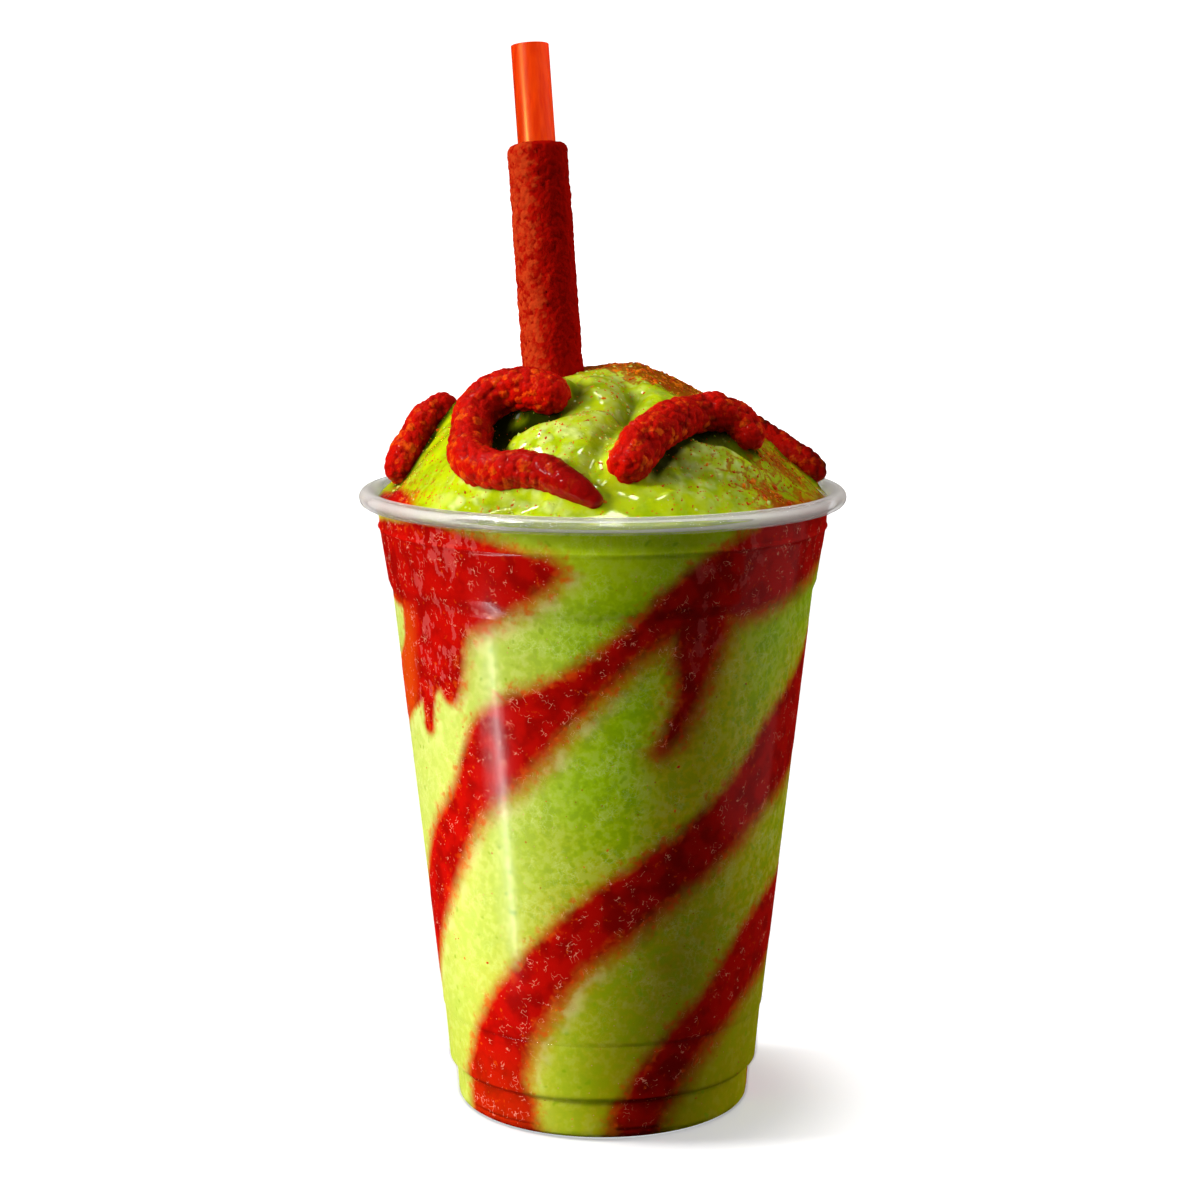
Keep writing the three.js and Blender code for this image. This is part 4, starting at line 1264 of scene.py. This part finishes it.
class SMOOTHIE_OT_stage(SmoothieOperator):
    """Sets the floor, the studio lights and the camera"""
    bl_idname = "smoothie.stage"
    bl_label = "Stage"

    def make(self, settings):
        stage = settings.stage
        deselect_all()
        bpy.ops.mesh.primitive_circle_add(vertices=96, radius=8, fill_type="NGON")
        floor = bpy.context.object
        floor.name = "floor"
        material, recipe = new_material("white_floor")
        seen = recipe.node("ShaderNodeLightPath", output="Is Camera Ray")
        recipe.finish(recipe.node("ShaderNodeMixShader", None, {
            0: seen,
            1: recipe.node("ShaderNodeBsdfDiffuse", None, {"Color": (0.006, 0.006, 0.006, 1)}),
            2: recipe.node("ShaderNodeBsdfPrincipled", None, {
                "Base Color": (0.9, 0.9, 0.9, 1), "Specular IOR Level": 0.0,
                "Emission Color": (1, 1, 1, 1), "Emission Strength": 0.5}),
        }))
        floor.data.materials.append(material)

        world = bpy.data.worlds.new("studio")
        bpy.context.scene.world = world
        world.use_nodes = True
        recipe = Recipe(world.node_tree)
        seen = recipe.node("ShaderNodeLightPath", output="Is Camera Ray")
        mirrored = recipe.node("ShaderNodeLightPath", output="Is Glossy Ray")
        strength = stage.air + seen * (1.2 - stage.air) + mirrored * (stage.shine - stage.air)
        air = recipe.node("ShaderNodeBackground", None, {"Color": (1, 1, 1, 1), "Strength": strength})
        recipe.finish(air, "ShaderNodeOutputWorld")

        soft_lights = [
            self.sun("key_light", -68, 22, 30, stage.key),
            self.sun("top_light", 0, 90, 70, stage.top),
            self.sun("right_light", 106, 10, 50, 2.2),
        ]
        sheen_light = self.sun("sheen_light", -115, 60, 7, 0.45)
        sheen_light.visible_diffuse = False
        mirrored_lights = [
            sheen_light,
            self.sun("glint_light", -48, 40, 7, 0.45),
            self.panel("right_panel", 90, 0.155, 0.115, 0.30, 0.07),
        ]
        for step, radiance in enumerate((0.4, 0.8, 1.4, 2.8, 6.4, 1.6)):
            azimuth = -60.5 + 2.4 * step
            for height in (0.05, 0.078):
                strip = self.panel("left_strip", azimuth, 0.095, 0.004, height, radiance)
                mirrored_lights.append(strip)
        kept_off = {
            "top_light": ["chilli_worm_right"],
            "right_light": ["chilli_worm_right"],
            "sheen_light": ["chilli_worm_right"],
            "right_panel": ["orange_straw"],
        }
        for light in soft_lights + mirrored_lights:
            self.aim(light, "EXCLUDE", "floor", *kept_off.get(light.name, []))
        straw_glint = self.sun("straw_glint", -60, 16, 14, 17.0)
        straw_glint.data.color = (1.0, 0.6, 0.12)
        straw_glint.visible_diffuse = False
        self.aim(straw_glint, "INCLUDE", "orange_straw")
        heap_glint = self.sun("heap_glint", 10, 84, 9, 0.5)
        heap_glint.visible_diffuse = False
        self.aim(heap_glint, "INCLUDE", "slush")
        for light, piece in (
            (self.sun("lip_light", -10, 45, 60, 4.2), "clear_cup"),
            (self.sun("lip_front", 0, 2, 60, 3.2), "clear_cup"),
            (self.sun("straw_light", 60, 20, 50, 2.4), "orange_straw"),
            (self.sun("floor_light", 90, 90, 12, 1.75), "floor"),
            (self.sun("floor_key", -90, 30, 20, 3.2), "floor"),
        ):
            self.aim(light, "INCLUDE", piece)
            soft_lights.append(light)
        for light in soft_lights:
            light.visible_glossy = False

        camera = bpy.data.cameras.new("camera")
        camera.sensor_width = 36
        camera.lens = 2799 / 1200 * 36
        holder = bpy.data.objects.new("camera", camera)
        bpy.context.scene.collection.objects.link(holder)
        holder.location = (-0.00054, -0.560, 0.197)
        holder.rotation_euler = (math.radians(90 - 9.43), 0, 0)
        bpy.context.scene.camera = holder
        bpy.context.scene.view_settings.view_transform = "Standard"

    def direction(self, azimuth, elevation):
        """From the drink towards a light: azimuth 0 is the front and 90 the right."""
        a, e = math.radians(azimuth), math.radians(elevation)
        return Vector((math.sin(a) * math.cos(e), -math.cos(a) * math.cos(e), math.sin(e)))

    def sun(self, name, azimuth, elevation, width, strength):
        light = bpy.data.lights.new(name, "SUN")
        light.energy = strength
        light.angle = math.radians(width)
        return self.hang(light, self.direction(azimuth, elevation))

    def panel(self, name, azimuth, distance, width, height, radiance):
        """An upright soft panel that stands on the floor and faces the cup."""
        light = bpy.data.lights.new(name, "AREA")
        light.shape = "RECTANGLE"
        light.size = width
        light.size_y = height
        light.energy = radiance * math.pi * width * height
        holder = self.hang(light, self.direction(azimuth, 0) * distance)
        holder.location.z = height / 2 + 0.002
        holder.visible_camera = False
        return holder

    def aim(self, light, state, *names):
        """Keeps a light off the named pieces, or on them alone."""
        lit = bpy.data.collections.new(light.name)
        for name in names:
            lit.objects.link(bpy.data.objects[name])
        for linked in lit.collection_objects:
            linked.light_linking.link_state = state
        light.light_linking.receiver_collection = lit

    def hang(self, light, place):
        holder = bpy.data.objects.new(light.name, light)
        bpy.context.scene.collection.objects.link(holder)
        holder.location = place
        holder.rotation_euler = place.to_track_quat("Z", "Y").to_euler()
        return holder


class SMOOTHIE_PT_panel(bpy.types.Panel):
    """Lists the pieces of the smoothie in the sidebar"""
    bl_idname = "SMOOTHIE_PT_panel"
    bl_label = "Green apple smoothie"
    bl_space_type = "VIEW_3D"
    bl_region_type = "UI"
    bl_category = "Smoothie"

    def draw(self, context):
        settings = context.scene.smoothie
        for group in ("cup", "slush", "sauce", "worm", "straw", "stage"):
            box = self.layout.box()
            box.label(text=group.title())
            owner = getattr(settings, group)
            for name in owner.__annotations__:
                box.prop(owner, name)
        for operator in OPERATORS:
            self.layout.operator(operator.bl_idname)


SETTINGS = [
    CupSettings, SlushSettings, SauceSettings, WormSettings, StrawSettings, StageSettings,
    SmoothieSettings,
]
OPERATORS = [
    SMOOTHIE_OT_cup, SMOOTHIE_OT_slush, SMOOTHIE_OT_sauce, SMOOTHIE_OT_worms, SMOOTHIE_OT_straw,
    SMOOTHIE_OT_sleeve, SMOOTHIE_OT_flecks, SMOOTHIE_OT_stage,
]


def register():
    for kind in [*SETTINGS, *OPERATORS, SMOOTHIE_PT_panel]:
        bpy.utils.register_class(kind)
    bpy.types.Scene.smoothie = bpy.props.PointerProperty(type=SmoothieSettings)


def unregister():
    del bpy.types.Scene.smoothie
    for kind in reversed([*SETTINGS, *OPERATORS, SMOOTHIE_PT_panel]):
        bpy.utils.unregister_class(kind)


def main():
    register()
    for operator in OPERATORS:
        group, name = operator.bl_idname.split(".")
        getattr(getattr(bpy.ops, group), name)()


if __name__ == "__main__":
    main()
